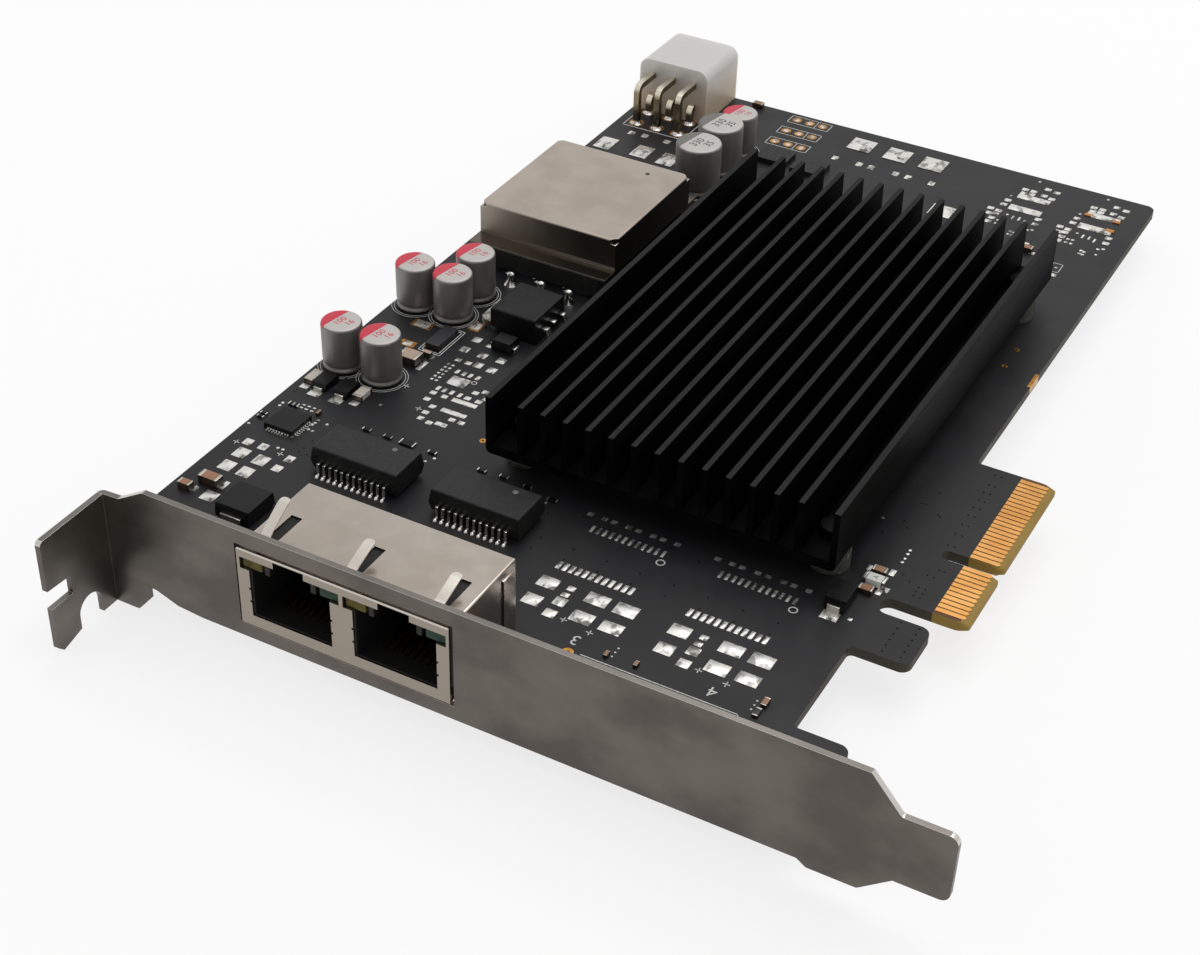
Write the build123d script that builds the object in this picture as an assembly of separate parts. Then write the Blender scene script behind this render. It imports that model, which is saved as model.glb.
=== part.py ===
from build123d import *
import os

# A full-height expansion card: a network adapter with two shielded sockets, an edge connector with
# thirty-two contacts a side, a finned heatsink and a supply stage for powered cables.
# Millimetres. +X runs along the bracket from its tab to its tongue, +Y from the bracket to the rear
# of the board, +Z out of the component side. The origin is the bracket's outer corner at the tab
# bend, level with the component side.

# Circuit board
board_thickness = 1.57
board_left = -3.5
board_width = 96.5
board_length = 167.7
board_gap = 0.74
board_corner = 1.5
ear_reach = 7.9
ear_end = 16.7
notch_corner = 0.8

# Edge connector
connector_reach = 12.05
key_notch_y = 58.3
key_notch_width = 1.9
key_notch_depth = 7.7
contact_pitch = 1.0
front_contacts = 11
rear_contacts = 21
contact_to_notch = 0.55
connector_margin = 1.1
contact_width = 0.7
contact_length = 4.15
contact_setback = 0.95
contact_thickness = 0.06
lead_in_length = 0.9
lead_in_depth = 0.4
retention_slot = 3.2
hook_reach = 8.2
hook_width = 8.3

# Bracket
bracket_thickness = 0.86
bracket_length = 120.02
bracket_top = 13.9
bracket_bottom = -3.6
bend_top = 11.2
bend_dip_start = 3.5
bend_dip_end = 7.6
foot_bottom = -6.6
foot_width = 4.6
foot_wall = 6.6
relief_top = -1.9
relief_end = 15.5
shoulder_length = 7.7
shoulder_depth = 0.9
tongue_width = 10.19
tongue_top = 9.1
tongue_length = 6.9
tongue_corner = 1.3
taper_length = 4.1
tab_depth = 12.2
tab_notch_top = 3.3
tab_notch_bottom = 0.1
tab_notch_depth = 4.4
prong_bottom = -7.4
screw_slot_radius = 2.21
screw_slot_y = -4.95
screw_slot_z = -4.4
window_gap = 0.4

# Bracket ears and their screws
ear_width = 9.0
ear_depth = 10.5
ear_screw_inset = 6.0
left_ear_x = 8.0
screw_radius = 1.5
screw_fit = 0.1
screw_head_radius = 2.9
screw_head_height = 2.0
screw_recess_radius = 1.3
screw_recess_depth = 1.1
screw_end = 0.6

# Two-port jack
jack_x = 38.2
jack_width = 31.7
jack_height = 11.2
jack_front = -0.25
jack_depth = 16.05
jack_lip = 1.0
jack_lip_depth = 1.3
shield_thickness = 0.25
port_pitch = 15.7
port_width = 12.3
port_floor = 0.75
port_ceiling = 8.1
led_window_width = 15.1
led_window_top = 9.9
latch_slot_width = 4.6
spring_width = 1.45
spring_gap = 0.12
spring_pitch = 12.8
spring_root = 0.6
spring_bend = 3.0
spring_crest = 6.2
spring_tip = 7.2
spring_tip_corner = 0.6
spring_rises = [4.2, 2.6, 2.4]
spring_window_end = 8.85
housing_fit = 0.05
cavity_width = 11.9
cavity_depth = 12.6
latch_channel_width = 6.2
latch_channel_top = 10.5
led_width = 3.1
led_length = 4.0
led_fit = 0.1
wire_pitch = 1.02
wire_count = 8
wire_width = 0.45
wire_thickness = 0.3
wire_start = 2.7
wire_end = 10.2
wire_rise = 2.3
jack_pin = 0.5
jack_pin_row = 11.2
jack_pin_stagger = 2.54
shield_leg_width = 1.3
shield_leg_y = 9.4
pin_tail = 1.5
hole_fit = 0.15

# Heatsink with its nylon pins and spacers
heatsink_side_gap = 7.55
heatsink_margin = 6.08
heatsink_front = 42.4
heatsink_length = 86.5
heatsink_height = 9.4
heatsink_base = 1.5
fin_thickness = 1.0
fin_count = 15
outer_pitch = 5.1
fin_draft = 0.1
base_corner = 0.8
push_pin_inset = 6.2
push_pin_radius = 1.45
push_pin_head_radius = 1.9
push_pin_head = 1.4
push_pin_tail = 2.6
spacer_radius = 2.8

# Controller under the heatsink
chip_width = 19.0
chip_substrate = 1.2
chip_lid_width = 15.5
chip_lid = 1.6
thermal_pad = 1.0
thermal_pad_width = 16.5

# Line transformers
module_x = 18.8
module_pitch = 19.7
module_y = 34.1
module_count = 2
module_length = 14.6
module_width = 7.1
module_height = 4.0
module_standoff = 0.45
module_draft = 0.3
module_parting = 1.9
module_lead_count = 12
module_lead_pitch = 1.0
module_lead_span = 9.6
module_lead_width = 0.42
lead_foot = 0.75

# Supply transformer
supply_x = 13.2
supply_width = 25.1
supply_front = 94.5
supply_depth = 26.1
supply_top = 9.9
supply_shield = 0.4
supply_skirt = 4.0
supply_flange = 3.3
supply_corner_relief = 1.6
bobbin_inset = 1.4
bobbin_foot = 0.6
bobbin_foot_width = 2.4
bobbin_rail = 3.2
bobbin_plate = 1.1
core_gap = 0.3
supply_pin_count = 5
supply_pin_pitch = 5.5
supply_pin = 0.9
supply_pin_inset = 1.6

# Radial capacitors
small_can_radius = 3.15
small_can_height = 7.9
large_can_radius = 4.0
large_can_height = 8.9
can_crown = 0.4
can_lead = 0.6
can_lead_spacing = 2.5
large_lead_spacing = 3.5
small_cans = [(0.1, 55.4), (7.1, 55.4), (0.1, 75.8), (6.9, 76.0), (6.7, 83.2), (21.2, 149.8)]
large_cans = [(20.9, 133.8), (20.9, 142.5)]

# Supply header
header_x = 4.4
header_pitch = 4.2
header_columns = 3
header_width = 13.8
header_height = 10.2
header_depth = 13.0
header_lower_row = 3.0
header_wall = 0.7
header_cell_depth = 8.8
header_corner = 2.0
header_pin = 1.07
header_pin_step = 4.9
header_pin_gap = 0.55
header_pin_inset = 1.3

# Switching transistor in a tabbed package
switch_x = 18.4
switch_y = 79.5
switch_length = 8.1
switch_width = 9.2
switch_height = 4.4
switch_lead_pitch = 2.54
switch_lead_width = 1.0
switch_lead_height = 2.4
switch_lead_reach = 3.0
switch_tab_reach = 2.6
switch_tab = 1.3

# Places worked out from the values above
board_right = board_left + board_width
board_front = bracket_thickness + board_gap
board_rear = board_front + board_length
board_under = -board_thickness
connector_tip = board_right + connector_reach
segment_start = key_notch_width / 2 + contact_to_notch
connector_front = key_notch_y - segment_start - (front_contacts - 1) * contact_pitch - connector_margin
connector_rear = key_notch_y + segment_start + (rear_contacts - 1) * contact_pitch + connector_margin
hook_rear = connector_front - retention_slot
hook_front = hook_rear - hook_width
jack_left = jack_x - jack_width / 2
jack_right = jack_x + jack_width / 2
jack_rear = jack_front + jack_depth
port_centres = [jack_x - port_pitch / 2, jack_x + port_pitch / 2]
supply_left = supply_x - supply_width / 2
supply_right = supply_x + supply_width / 2
heatsink_bottom = chip_substrate + chip_lid + thermal_pad
heatsink_top = heatsink_bottom + heatsink_height
heatsink_left = supply_right + heatsink_side_gap
heatsink_right = board_right - heatsink_margin
heatsink_width = heatsink_right - heatsink_left
fin_pitch = (heatsink_width - fin_thickness - 2 * outer_pitch) / (fin_count - 3)
heatsink_rear = heatsink_front + heatsink_length
pin_channel = (fin_thickness + outer_pitch) / 2
push_pin_places = [
    (x, y)
    for x in (heatsink_left + pin_channel, heatsink_right - pin_channel)
    for y in (heatsink_front + push_pin_inset, heatsink_rear - push_pin_inset)
]
chip_x = (heatsink_left + heatsink_right) / 2
chip_y = (heatsink_front + heatsink_rear) / 2
ear_centres = [left_ear_x, board_right + ear_reach - ear_width / 2 - notch_corner]
ear_screw_y = bracket_thickness + ear_screw_inset
supply_rear = supply_front + supply_depth
supply_pin_rows = [supply_front - supply_flange + supply_pin_inset, supply_rear + supply_flange - supply_pin_inset]
supply_pin_xs = [supply_x + (i - (supply_pin_count - 1) / 2) * supply_pin_pitch for i in range(supply_pin_count)]
header_rear = board_rear
header_front = header_rear - header_depth
header_columns_x = [header_x + (i - (header_columns - 1) / 2) * header_pitch for i in range(header_columns)]
header_rows_z = [header_lower_row, header_lower_row + header_pitch]
header_feet_y = [header_front - header_pin_gap - header_pin / 2,
                 header_front - header_pin_gap - header_pin / 2 - header_pin_step]
module_centres = [module_x + i * module_pitch for i in range(module_count)]


def block(x0, x1, y0, y1, z0, z1):
    """A box between two corners."""
    return Pos((x0 + x1) / 2, (y0 + y1) / 2, (z0 + z1) / 2) * Box(x1 - x0, y1 - y0, z1 - z0)


def post(x, y, radius, z0, z1):
    """An upright round pin."""
    return Pos(x, y, (z0 + z1) / 2) * Cylinder(radius, z1 - z0)


def slab(points, z0, z1):
    """An outline in plan, given its thickness."""
    return extrude(Pos(0, 0, z0) * make_face(Polyline(*points, close=True)), z1 - z0, dir=(0, 0, 1))


def side_strip(points, x0, x1):
    """An outline of (y, z) points, extruded along X."""
    outline = Polyline(*[(x0, y, z) for y, z in points], close=True)
    return extrude(make_face(outline), x1 - x0, dir=(1, 0, 0))


def end_strip(points, y0, y1):
    """An outline of (x, z) points, extruded along Y."""
    outline = Polyline(*[(x, y0, z) for x, z in points], close=True)
    return extrude(make_face(outline), y1 - y0, dir=(0, 1, 0))


def turned(x, y, profile):
    """A turned piece from (radius, height) points about an upright axis."""
    outline = Polyline(*[(r, 0, z) for r, z in profile], close=True)
    return Pos(x, y, 0) * revolve(make_face(outline), Axis.Z)


def upright(solid, x, y):
    """Edges of a solid that stand upright nearest to a place in plan."""
    edges = solid.edges().filter_by(Axis.Z)
    return edges.sort_by(lambda e: (e.center().X - x) ** 2 + (e.center().Y - y) ** 2)[0]


def circuit_board():
    """The bare board: outline, key notch, retention slot, bevelled tongue and every drilled hole."""
    outline = [
        (board_left, board_front),
        (board_right + ear_reach, board_front),
        (board_right + ear_reach, ear_end),
        (board_right, ear_end),
        (board_right, hook_front),
        (board_right + hook_reach, hook_front),
        (board_right + hook_reach, hook_rear),
        (board_right, hook_rear),
        (board_right, connector_front),
        (connector_tip, connector_front),
        (connector_tip, connector_rear),
        (board_right, connector_rear),
        (board_right, board_rear),
        (board_left, board_rear),
    ]
    board = slab(outline, board_under, 0)
    for x, y in outline:
        inner = (x, y) in [outline[3], outline[4], outline[7], outline[8], outline[11]]
        inner_radius = retention_slot / 2 - 0.01 if (x, y) in [outline[7], outline[8]] else notch_corner
        radius = inner_radius if inner else min(board_corner, ear_reach / 4)
        if x != connector_tip:
            board = fillet(upright(board, x, y), radius)
    notch_x = connector_tip - key_notch_depth
    board -= block(notch_x, connector_tip + 1, key_notch_y - key_notch_width / 2,
                   key_notch_y + key_notch_width / 2, board_under - 1, 1)
    board -= post(notch_x, key_notch_y, key_notch_width / 2, board_under - 1, 1)
    for top, sign in ((0, 1), (board_under, -1)):
        wedge = [
            (connector_tip - lead_in_length, top),
            (connector_tip + 0.1, top - sign * lead_in_depth * (1 + 0.1 / lead_in_length)),
            (connector_tip + 0.1, top + sign * 0.1),
            (connector_tip - lead_in_length, top + sign * 0.1),
        ]
        board -= end_strip(wedge, connector_front - 1, connector_rear + 1)
    for x in ear_centres:
        board -= post(x, ear_screw_y, screw_radius + screw_fit, board_under - 1, 1)
    for x, y in push_pin_places:
        board -= post(x, y, push_pin_radius + hole_fit, board_under - 1, 1)
    for x in shield_leg_xs():
        board -= block(x - shield_thickness / 2 - hole_fit, x + shield_thickness / 2 + hole_fit,
                       shield_leg_y - shield_leg_width / 2 - hole_fit,
                       shield_leg_y + shield_leg_width / 2 + hole_fit, board_under - 1, 1)
    for x in header_columns_x:
        for y in header_feet_y:
            half = header_pin / 2 + hole_fit
            board -= block(x - half, x + half, y - half, y + half, board_under - 1, 1)
    return [board]


def edge_contacts():
    """Gold contacts on both faces of the connector tongue."""
    ys = [key_notch_y + segment_start + i * contact_pitch for i in range(rear_contacts)]
    ys += [key_notch_y - segment_start - i * contact_pitch for i in range(front_contacts)]
    tip = connector_tip - contact_setback
    half = contact_width / 2
    contacts = []
    for y in sorted(ys):
        for z in (0, board_under - contact_thickness):
            contacts.append(block(tip - contact_length, tip, y - half, y + half, z, z + contact_thickness))
    return contacts


def bracket():
    """Folded steel plate with its window, tab, tongue and the two ears that hold the board."""
    tongue_bottom = tongue_top - tongue_width
    taper_start = bracket_length - tongue_length - taper_length
    shoulder_start = taper_start - shoulder_length
    shoulder_bottom = bracket_bottom - shoulder_depth
    outline = [
        (0, foot_bottom),
        (foot_width, foot_bottom),
        (foot_wall, foot_bottom + (foot_wall - foot_width) * 1.2),
        (foot_wall, relief_top),
        (foot_wall + 1.2, relief_top),
        (relief_end - 4.0, bracket_bottom + 0.35),
        (relief_end, bracket_bottom),
        (shoulder_start, bracket_bottom),
        (shoulder_start + shoulder_depth * 1.4, shoulder_bottom),
        (taper_start, shoulder_bottom),
        (taper_start + taper_length, tongue_bottom),
        (bracket_length, tongue_bottom),
        (bracket_length, tongue_top),
        (taper_start + taper_length, tongue_top),
        (taper_start, bracket_top),
        (bend_dip_end, bracket_top),
        (bend_dip_start, bend_top + 0.2),
        (0, bend_top),
    ]
    plate = end_strip(outline, 0, bracket_thickness)
    across = plate.edges().filter_by(Axis.Y)
    plate = fillet(across.filter_by(lambda e: e.center().X > bracket_length - 0.01), tongue_corner)
    soft = [outline[1], outline[4], outline[5], outline[8], outline[9], outline[13], outline[15], outline[16]]
    for x, z in soft:
        near = plate.edges().filter_by(Axis.Y).sort_by(
            lambda e: (e.center().X - x) ** 2 + (e.center().Z - z) ** 2)[0]
        plate = fillet(near, 0.8)
    window = block(jack_left - window_gap, jack_right + window_gap, -1, bracket_thickness + 1,
                   -jack_lip - window_gap, jack_height + window_gap)
    plate -= window
    slot_left = screw_slot_y - screw_slot_radius
    slot_right = screw_slot_y + screw_slot_radius
    tab_outline = [
        (bracket_thickness, bend_top),
        (-tab_depth, bend_top),
        (-tab_depth, tab_notch_top),
        (-tab_depth + tab_notch_depth, tab_notch_top - 0.3),
        (-tab_depth + tab_notch_depth, tab_notch_bottom),
        (-tab_depth + 0.3, tab_notch_bottom),
        (-tab_depth + 0.3, prong_bottom + 1.0),
        (-tab_depth + 1.3, prong_bottom),
        (slot_left, prong_bottom + 1.0),
        (slot_left, screw_slot_z),
        (slot_right, screw_slot_z),
        (slot_right, foot_bottom),
        (bracket_thickness, foot_bottom),
    ]
    tab = side_strip(tab_outline, 0, bracket_thickness)
    slot_end = Pos(bracket_thickness / 2, screw_slot_y, screw_slot_z) * Rot(0, 90, 0)
    tab -= slot_end * Cylinder(screw_slot_radius, bracket_thickness * 3)
    tab = fillet(tab.edges().filter_by(Axis.X).filter_by(
        lambda e: e.center().Y < -tab_depth + 0.01 and e.center().Z > bend_top - 0.01), 0.7)
    folded = plate + tab
    outer_bend = folded.edges().filter_by(Axis.Z).filter_by(
        lambda e: abs(e.center().X) < 0.01 and abs(e.center().Y - bracket_thickness) < 0.01)
    folded = fillet(outer_bend, bracket_thickness * 0.9)
    ear_top = board_under
    for x in ear_centres:
        ear = block(x - ear_width / 2, x + ear_width / 2, bracket_thickness / 2,
                    bracket_thickness + ear_depth, ear_top - bracket_thickness, ear_top)
        rear_corners = ear.edges().filter_by(Axis.Z).filter_by(
            lambda e: e.center().Y > bracket_thickness + ear_depth - 0.01)
        ear = fillet(rear_corners, ear_width / 5)
        ear -= post(x, ear_screw_y, screw_radius + screw_fit / 2, ear_top - 3, ear_top + 3)
        folded += ear
    return [folded]


def bracket_screws():
    """Pan-head screws from the component side, through the board into the bracket's ears."""
    screws = []
    end = board_under - bracket_thickness - screw_end
    for x in ear_centres:
        screw = turned(x, ear_screw_y, [
            (0, end),
            (screw_radius, end),
            (screw_radius, 0),
            (screw_head_radius, 0),
            (screw_head_radius, screw_head_height),
            (0, screw_head_height),
        ])
        for turn in (0, 90):
            cross = Pos(x, ear_screw_y, screw_head_height - screw_recess_depth / 2) * Rot(0, 0, turn)
            screw -= cross * Box(screw_recess_radius * 2, screw_recess_radius * 0.4, screw_recess_depth)
        screws.append(screw)
    return screws


def port_cutout(x, y0, y1):
    """The opening of one port in the shield's face, with light windows and a latch slot."""
    half = port_width / 2
    wide = led_window_width / 2
    latch = latch_slot_width / 2
    top = jack_height - shield_thickness
    return end_strip([
        (x - half, port_floor),
        (x + half, port_floor),
        (x + half, port_ceiling),
        (x + wide, port_ceiling),
        (x + wide, led_window_top),
        (x + latch, led_window_top),
        (x + latch, top),
        (x - latch, top),
        (x - latch, led_window_top),
        (x - wide, led_window_top),
        (x - wide, port_ceiling),
        (x - half, port_ceiling),
    ], y0, y1)


def shield_leg_xs():
    return [jack_left + shield_thickness / 2, jack_right - shield_thickness / 2]


def spring_finger(x0, x1, rise):
    """A tongue cut from the shield's top, rooted at its front and sprung up towards a rounded tip."""
    t = shield_thickness
    top = jack_height
    crest = [(spring_bend, rise * 0.5), (spring_crest, rise * 0.96), (spring_tip, rise)]
    outer = [(spring_root - 2 * t, top), (spring_root, top)] + [(y, top + z) for y, z in crest]
    inner = [(y, z - t) for y, z in reversed(outer)]
    finger = side_strip(outer + inner, x0, x1)
    tip = finger.edges().filter_by(Axis.Z).filter_by(lambda e: e.center().Y > spring_tip - 0.01)
    return fillet(tip, spring_tip_corner)


def jack_shield():
    """Folded nickel-plated shell over both ports, with spring fingers raised from its top."""
    t = shield_thickness
    shell = block(jack_left, jack_right, jack_front, jack_rear, 0, jack_height)
    bends = shell.edges().filter_by(
        lambda e: e.center().Z > jack_height - 0.01
        or (e.center().Y > jack_rear - 0.01 and 0.01 < e.center().Z < jack_height - 0.01))
    shell = fillet(bends, t)
    shell -= block(jack_left + t, jack_right - t, jack_front + t, jack_rear - t, -1, jack_height - t)
    shell += block(jack_left, jack_right, jack_front, jack_front + t, -jack_lip, t)
    shell += block(jack_left, jack_right, jack_front, jack_front + jack_lip_depth, -jack_lip, t - jack_lip)
    for x in port_centres:
        shell -= port_cutout(x, jack_front - 1, jack_front + t + 0.01)
        for side in (-1, 1):
            for z in (port_floor + 2.1, port_floor + 4.2):
                edge = x + side * port_width / 2
                shell -= block(edge - 0.25, edge + 0.25, jack_front - 1, jack_front + t + 0.01, z, z + 0.35)
    for i, rise in enumerate(spring_rises):
        x = jack_x + (i - 1) * spring_pitch
        half = spring_width / 2
        shell -= block(x - half - spring_gap, x + half + spring_gap, spring_root, spring_window_end,
                       jack_height - 2 * t, jack_height + 1)
        shell += spring_finger(x - half, x + half, rise)
    for side, x in zip((-1, 1), (jack_left, jack_right)):
        outer = x + side * 0.22
        inner = x - side * t / 2
        low, high = sorted((outer, inner))
        shell += block(low, high, jack_rear - 3.4, jack_rear - 0.8, 0.8, jack_height - 1.4)
        shell += block(min(x, x - side * t), max(x, x - side * t), shield_leg_y - shield_leg_width / 2,
                       shield_leg_y + shield_leg_width / 2, board_under - pin_tail, t)
    return [shell]


def jack_pin_places():
    """The sixteen wires leave the jack in two staggered rows."""
    places = []
    for centre in port_centres:
        for i in range(wire_count):
            x = centre + (i - (wire_count - 1) / 2) * wire_pitch
            places.append((x, jack_pin_row + (i % 2) * jack_pin_stagger))
    return places


def jack_housing():
    """Moulded insert with a cavity, latch channel and two light pockets for each port."""
    t = shield_thickness + housing_fit
    body = block(jack_left + t, jack_right - t, jack_front + t, jack_rear - t, 0, jack_height - t)
    inside = jack_front + t
    for x in port_centres:
        body -= block(x - cavity_width / 2, x + cavity_width / 2, inside - 1, inside + cavity_depth,
                      port_floor + 0.1, port_ceiling)
        body -= block(x - latch_channel_width / 2, x + latch_channel_width / 2, inside - 1,
                      inside + cavity_depth, port_ceiling - 1, latch_channel_top)
        for side in (-1, 1):
            low, high = sorted((x + side * led_window_width / 2, x + side * (latch_channel_width / 2 + 0.8)))
            body -= block(low, high, inside - 1, inside + led_length, port_ceiling, led_window_top)
    return [body]


def jack_lights(side):
    """Light windows in the upper corners of each port, on one side."""
    lights = []
    inside = jack_front + shield_thickness + housing_fit
    for x in port_centres:
        outer = x + side * (led_window_width / 2 - led_fit)
        inner = outer - side * led_width
        low, high = sorted((outer, inner))
        lights.append(block(low, high, inside + led_fit, inside + led_length,
                            port_ceiling, led_window_top - led_fit))
    return lights


def jack_wires():
    """Sprung gold wires that rise from the floor of each port to meet the plug."""
    floor = port_floor + 0.1
    w = wire_thickness
    back = jack_front + shield_thickness + housing_fit + cavity_depth
    profile = [
        (back, floor),
        (back, floor + w),
        (wire_start + 1.2, floor + w),
        (wire_end, floor + wire_rise),
        (wire_end - 0.2, floor + wire_rise + w),
        (wire_start, floor),
    ]
    wires = []
    for centre in port_centres:
        for i in range(wire_count):
            x = centre + (i - (wire_count - 1) / 2) * wire_pitch
            wires.append(side_strip(profile, x - wire_width / 2, x + wire_width / 2))
    return wires


def tails(places, width):
    """Square tails of soldered pins, below the board."""
    half = width / 2
    return [block(x - half, x + half, y - half, y + half, board_under - pin_tail, board_under)
            for x, y in places]


def heatsink():
    """Extruded comb: a base, thirteen fins on one pitch and an outer fin at each side."""
    xs = [heatsink_left]
    xs += [heatsink_left + outer_pitch + i * fin_pitch for i in range(fin_count - 2)]
    xs.append(heatsink_left + heatsink_width - fin_thickness)
    base_top = heatsink_bottom + heatsink_base
    outline = [(heatsink_right, heatsink_bottom), (heatsink_left, heatsink_bottom)]
    for i, x in enumerate(xs):
        if i > 0:
            outline.append((x, base_top))
        draft_in = 0 if i == 0 else fin_draft
        draft_out = 0 if i == len(xs) - 1 else fin_draft
        outline.append((x + draft_in, heatsink_top))
        outline.append((x + fin_thickness - draft_out, heatsink_top))
        if i < len(xs) - 1:
            outline.append((x + fin_thickness, base_top))
    comb = end_strip(outline, heatsink_front, heatsink_rear)
    lower_edges = comb.edges().filter_by(Axis.Y).filter_by(
        lambda e: e.center().Z < heatsink_bottom + 0.01)
    comb = fillet(lower_edges, base_corner)
    for x, y in push_pin_places:
        comb -= post(x, y, push_pin_radius + hole_fit, heatsink_bottom - 1, base_top + 1)
    return [comb]


def heatsink_push_pins():
    """Nylon pins that snap through the base, the spacers and the board."""
    base_top = heatsink_bottom + heatsink_base
    r = push_pin_radius
    pins = []
    for x, y in push_pin_places:
        pin = turned(x, y, [
            (0, board_under - push_pin_tail),
            (r, board_under - push_pin_tail),
            (r, base_top),
            (push_pin_head_radius, base_top),
            (push_pin_head_radius, base_top + push_pin_head),
            (0, base_top + push_pin_head),
        ])
        pins.append(pin)
    return pins


def heatsink_spacers():
    """Clear nylon rings that hold the heatsink's base above the board."""
    spacers = []
    for x, y in push_pin_places:
        ring = post(x, y, spacer_radius, 0, heatsink_bottom)
        spacers.append(ring - post(x, y, push_pin_radius + hole_fit, -1, heatsink_bottom + 1))
    return spacers


def square_chip(x, y, width, z0, z1):
    return block(x - width / 2, x + width / 2, y - width / 2, y + width / 2, z0, z1)


def controller_substrate():
    return [square_chip(chip_x, chip_y, chip_width, 0, chip_substrate)]


def controller_lid():
    lid = square_chip(chip_x, chip_y, chip_lid_width, chip_substrate, chip_substrate + chip_lid)
    return [chamfer(lid.edges().group_by(Axis.Z)[-1], 0.25)]


def controller_pad():
    return [square_chip(chip_x, chip_y, thermal_pad_width, heatsink_bottom - thermal_pad, heatsink_bottom)]


def module_bodies():
    """Moulded line transformers, drafted above and below their parting line."""
    bodies = []
    for x in module_centres:
        mid = Pos(x, module_y, module_parting) * Rectangle(module_length, module_width)
        top = Pos(x, module_y, module_height) * Rectangle(
            module_length - 2 * module_draft, module_width - 2 * module_draft)
        low = Pos(x, module_y, module_standoff) * Rectangle(
            module_length - 2 * module_draft, module_width - 2 * module_draft)
        body = loft([low.face(), mid.face()]) + loft([mid.face(), top.face()])
        bodies.append(chamfer(body.edges().group_by(Axis.Z)[-1], 0.15))
    return bodies


def gull_lead(x, y_body, y_foot, z_exit, width):
    """A formed lead from a body's side down to the board, facing either way along Y."""
    way = 1 if y_foot > y_body else -1
    t = 0.25
    knee = y_foot - way * lead_foot
    return side_strip([
        (y_body, z_exit),
        (y_body, z_exit + t),
        (knee + way * t, z_exit + t),
        (knee + way * t, t),
        (y_foot, t),
        (y_foot, 0),
        (knee, 0),
        (knee, z_exit),
    ], x - width / 2, x + width / 2)


def module_leads():
    leads = []
    for centre in module_centres:
        for i in range(module_lead_count):
            x = centre + (i - (module_lead_count - 1) / 2) * module_lead_pitch
            for way in (-1, 1):
                leads.append(gull_lead(x, module_y + way * module_width / 2,
                                       module_y + way * module_lead_span / 2,
                                       module_parting - 0.12, module_lead_width))
    return leads


def supply_shield_can():
    """Folded shield over the supply transformer, with a flange at its front and rear."""
    t = supply_shield
    can = block(supply_left, supply_right, supply_front, supply_rear, supply_skirt, supply_top)
    can = fillet(can.edges().filter_by(lambda e: e.center().Z > supply_top - 0.01), t)
    can -= block(supply_left + t, supply_right - t, supply_front + t, supply_rear - t,
                 supply_skirt - 1, supply_top - t)
    for y0, y1 in ((supply_front - supply_flange, supply_front + t),
                   (supply_rear - t, supply_rear + supply_flange)):
        can += block(supply_left, supply_right, y0, y1, supply_skirt, supply_skirt + t)
    relief = supply_corner_relief
    for x in (supply_left, supply_right):
        for y in (supply_front, supply_rear):
            can -= Pos(x, y, supply_top) * Rot(0, 0, 45) * Box(relief, relief, relief)
    return [can]


def supply_bobbin():
    """Moulded former under the shield, with a pin rail along the front and the rear."""
    x0 = supply_left + bobbin_inset
    x1 = supply_right - bobbin_inset
    y0 = supply_front - supply_flange + 0.3
    y1 = supply_rear + supply_flange - 0.3
    rail = bobbin_rail
    body = block(x0, x1, y0, y1, supply_skirt - bobbin_plate, supply_skirt)
    body += block(x0, x1, y0, y0 + rail, bobbin_foot, supply_skirt)
    body += block(x0, x1, y1 - rail, y1, bobbin_foot, supply_skirt)
    for x in (supply_pin_xs[0] + supply_pin_pitch / 2, supply_pin_xs[-1] - supply_pin_pitch / 2):
        for y in (y0, y1 - rail):
            body += block(x - bobbin_foot_width / 2, x + bobbin_foot_width / 2, y, y + rail, 0, bobbin_foot)
    return [body]


def supply_core():
    """Ferrite core inside the shield, seated on the former."""
    inset = supply_shield + core_gap
    core = block(supply_left + inset, supply_right - inset, supply_front + inset, supply_rear - inset,
                 supply_skirt, supply_top - supply_shield - core_gap)
    return [core]


def supply_pin_places():
    return [(x, y) for x in supply_pin_xs for y in supply_pin_rows]


def supply_pins():
    """Square pins from the former's rails down to the board."""
    half = supply_pin / 2
    return [block(x - half, x + half, y - half, y + half, 0, bobbin_foot) for x, y in supply_pin_places()]


def can_body(x, y, radius, height):
    """A drawn aluminium can with its crown eased, crimped on a rubber bung at its foot."""
    can = post(x, y, radius, 0, height)
    return chamfer(can.edges().group_by(Axis.Z)[-1], can_crown)


def can_lead_places():
    places = []
    for cans, spacing in ((small_cans, can_lead_spacing), (large_cans, large_lead_spacing)):
        for x, y in cans:
            places += [(x - spacing / 2, y), (x + spacing / 2, y)]
    return places


def header_housing():
    """Nylon header, open at the rear edge of the board, with one cell for each pin."""
    x0 = header_x - header_width / 2
    x1 = header_x + header_width / 2
    body = block(x0, x1, header_front, header_rear, 0, header_height)
    long_edges = body.edges().filter_by(Axis.Y)
    body = fillet(long_edges.filter_by(lambda e: e.center().Z > header_height - 0.01), header_corner)
    cell = header_pitch - header_wall
    for x in header_columns_x:
        for z in header_rows_z:
            low = max(z - cell / 2, header_wall)
            body -= block(x - cell / 2, x + cell / 2, header_rear - header_cell_depth, header_rear + 1,
                          low, z + cell / 2)
            body -= block(x - header_pin / 2, x + header_pin / 2, header_front - 1, header_rear,
                          z - header_pin / 2, z + header_pin / 2)
    return [body]


def header_pins():
    """Square pins, bent down behind the header and through the board."""
    half = header_pin / 2
    pins = []
    for x in header_columns_x:
        for z, foot_y in zip(header_rows_z, header_feet_y):
            pin = side_strip([
                (header_rear - header_pin_inset, z - half),
                (header_rear - header_pin_inset, z + half),
                (foot_y, z + half),
                (foot_y - half, z),
                (foot_y - half, board_under - pin_tail),
                (foot_y + half, board_under - pin_tail),
                (foot_y + half, z - half),
            ], x - half, x + half)
            pins.append(pin)
    return pins


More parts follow.
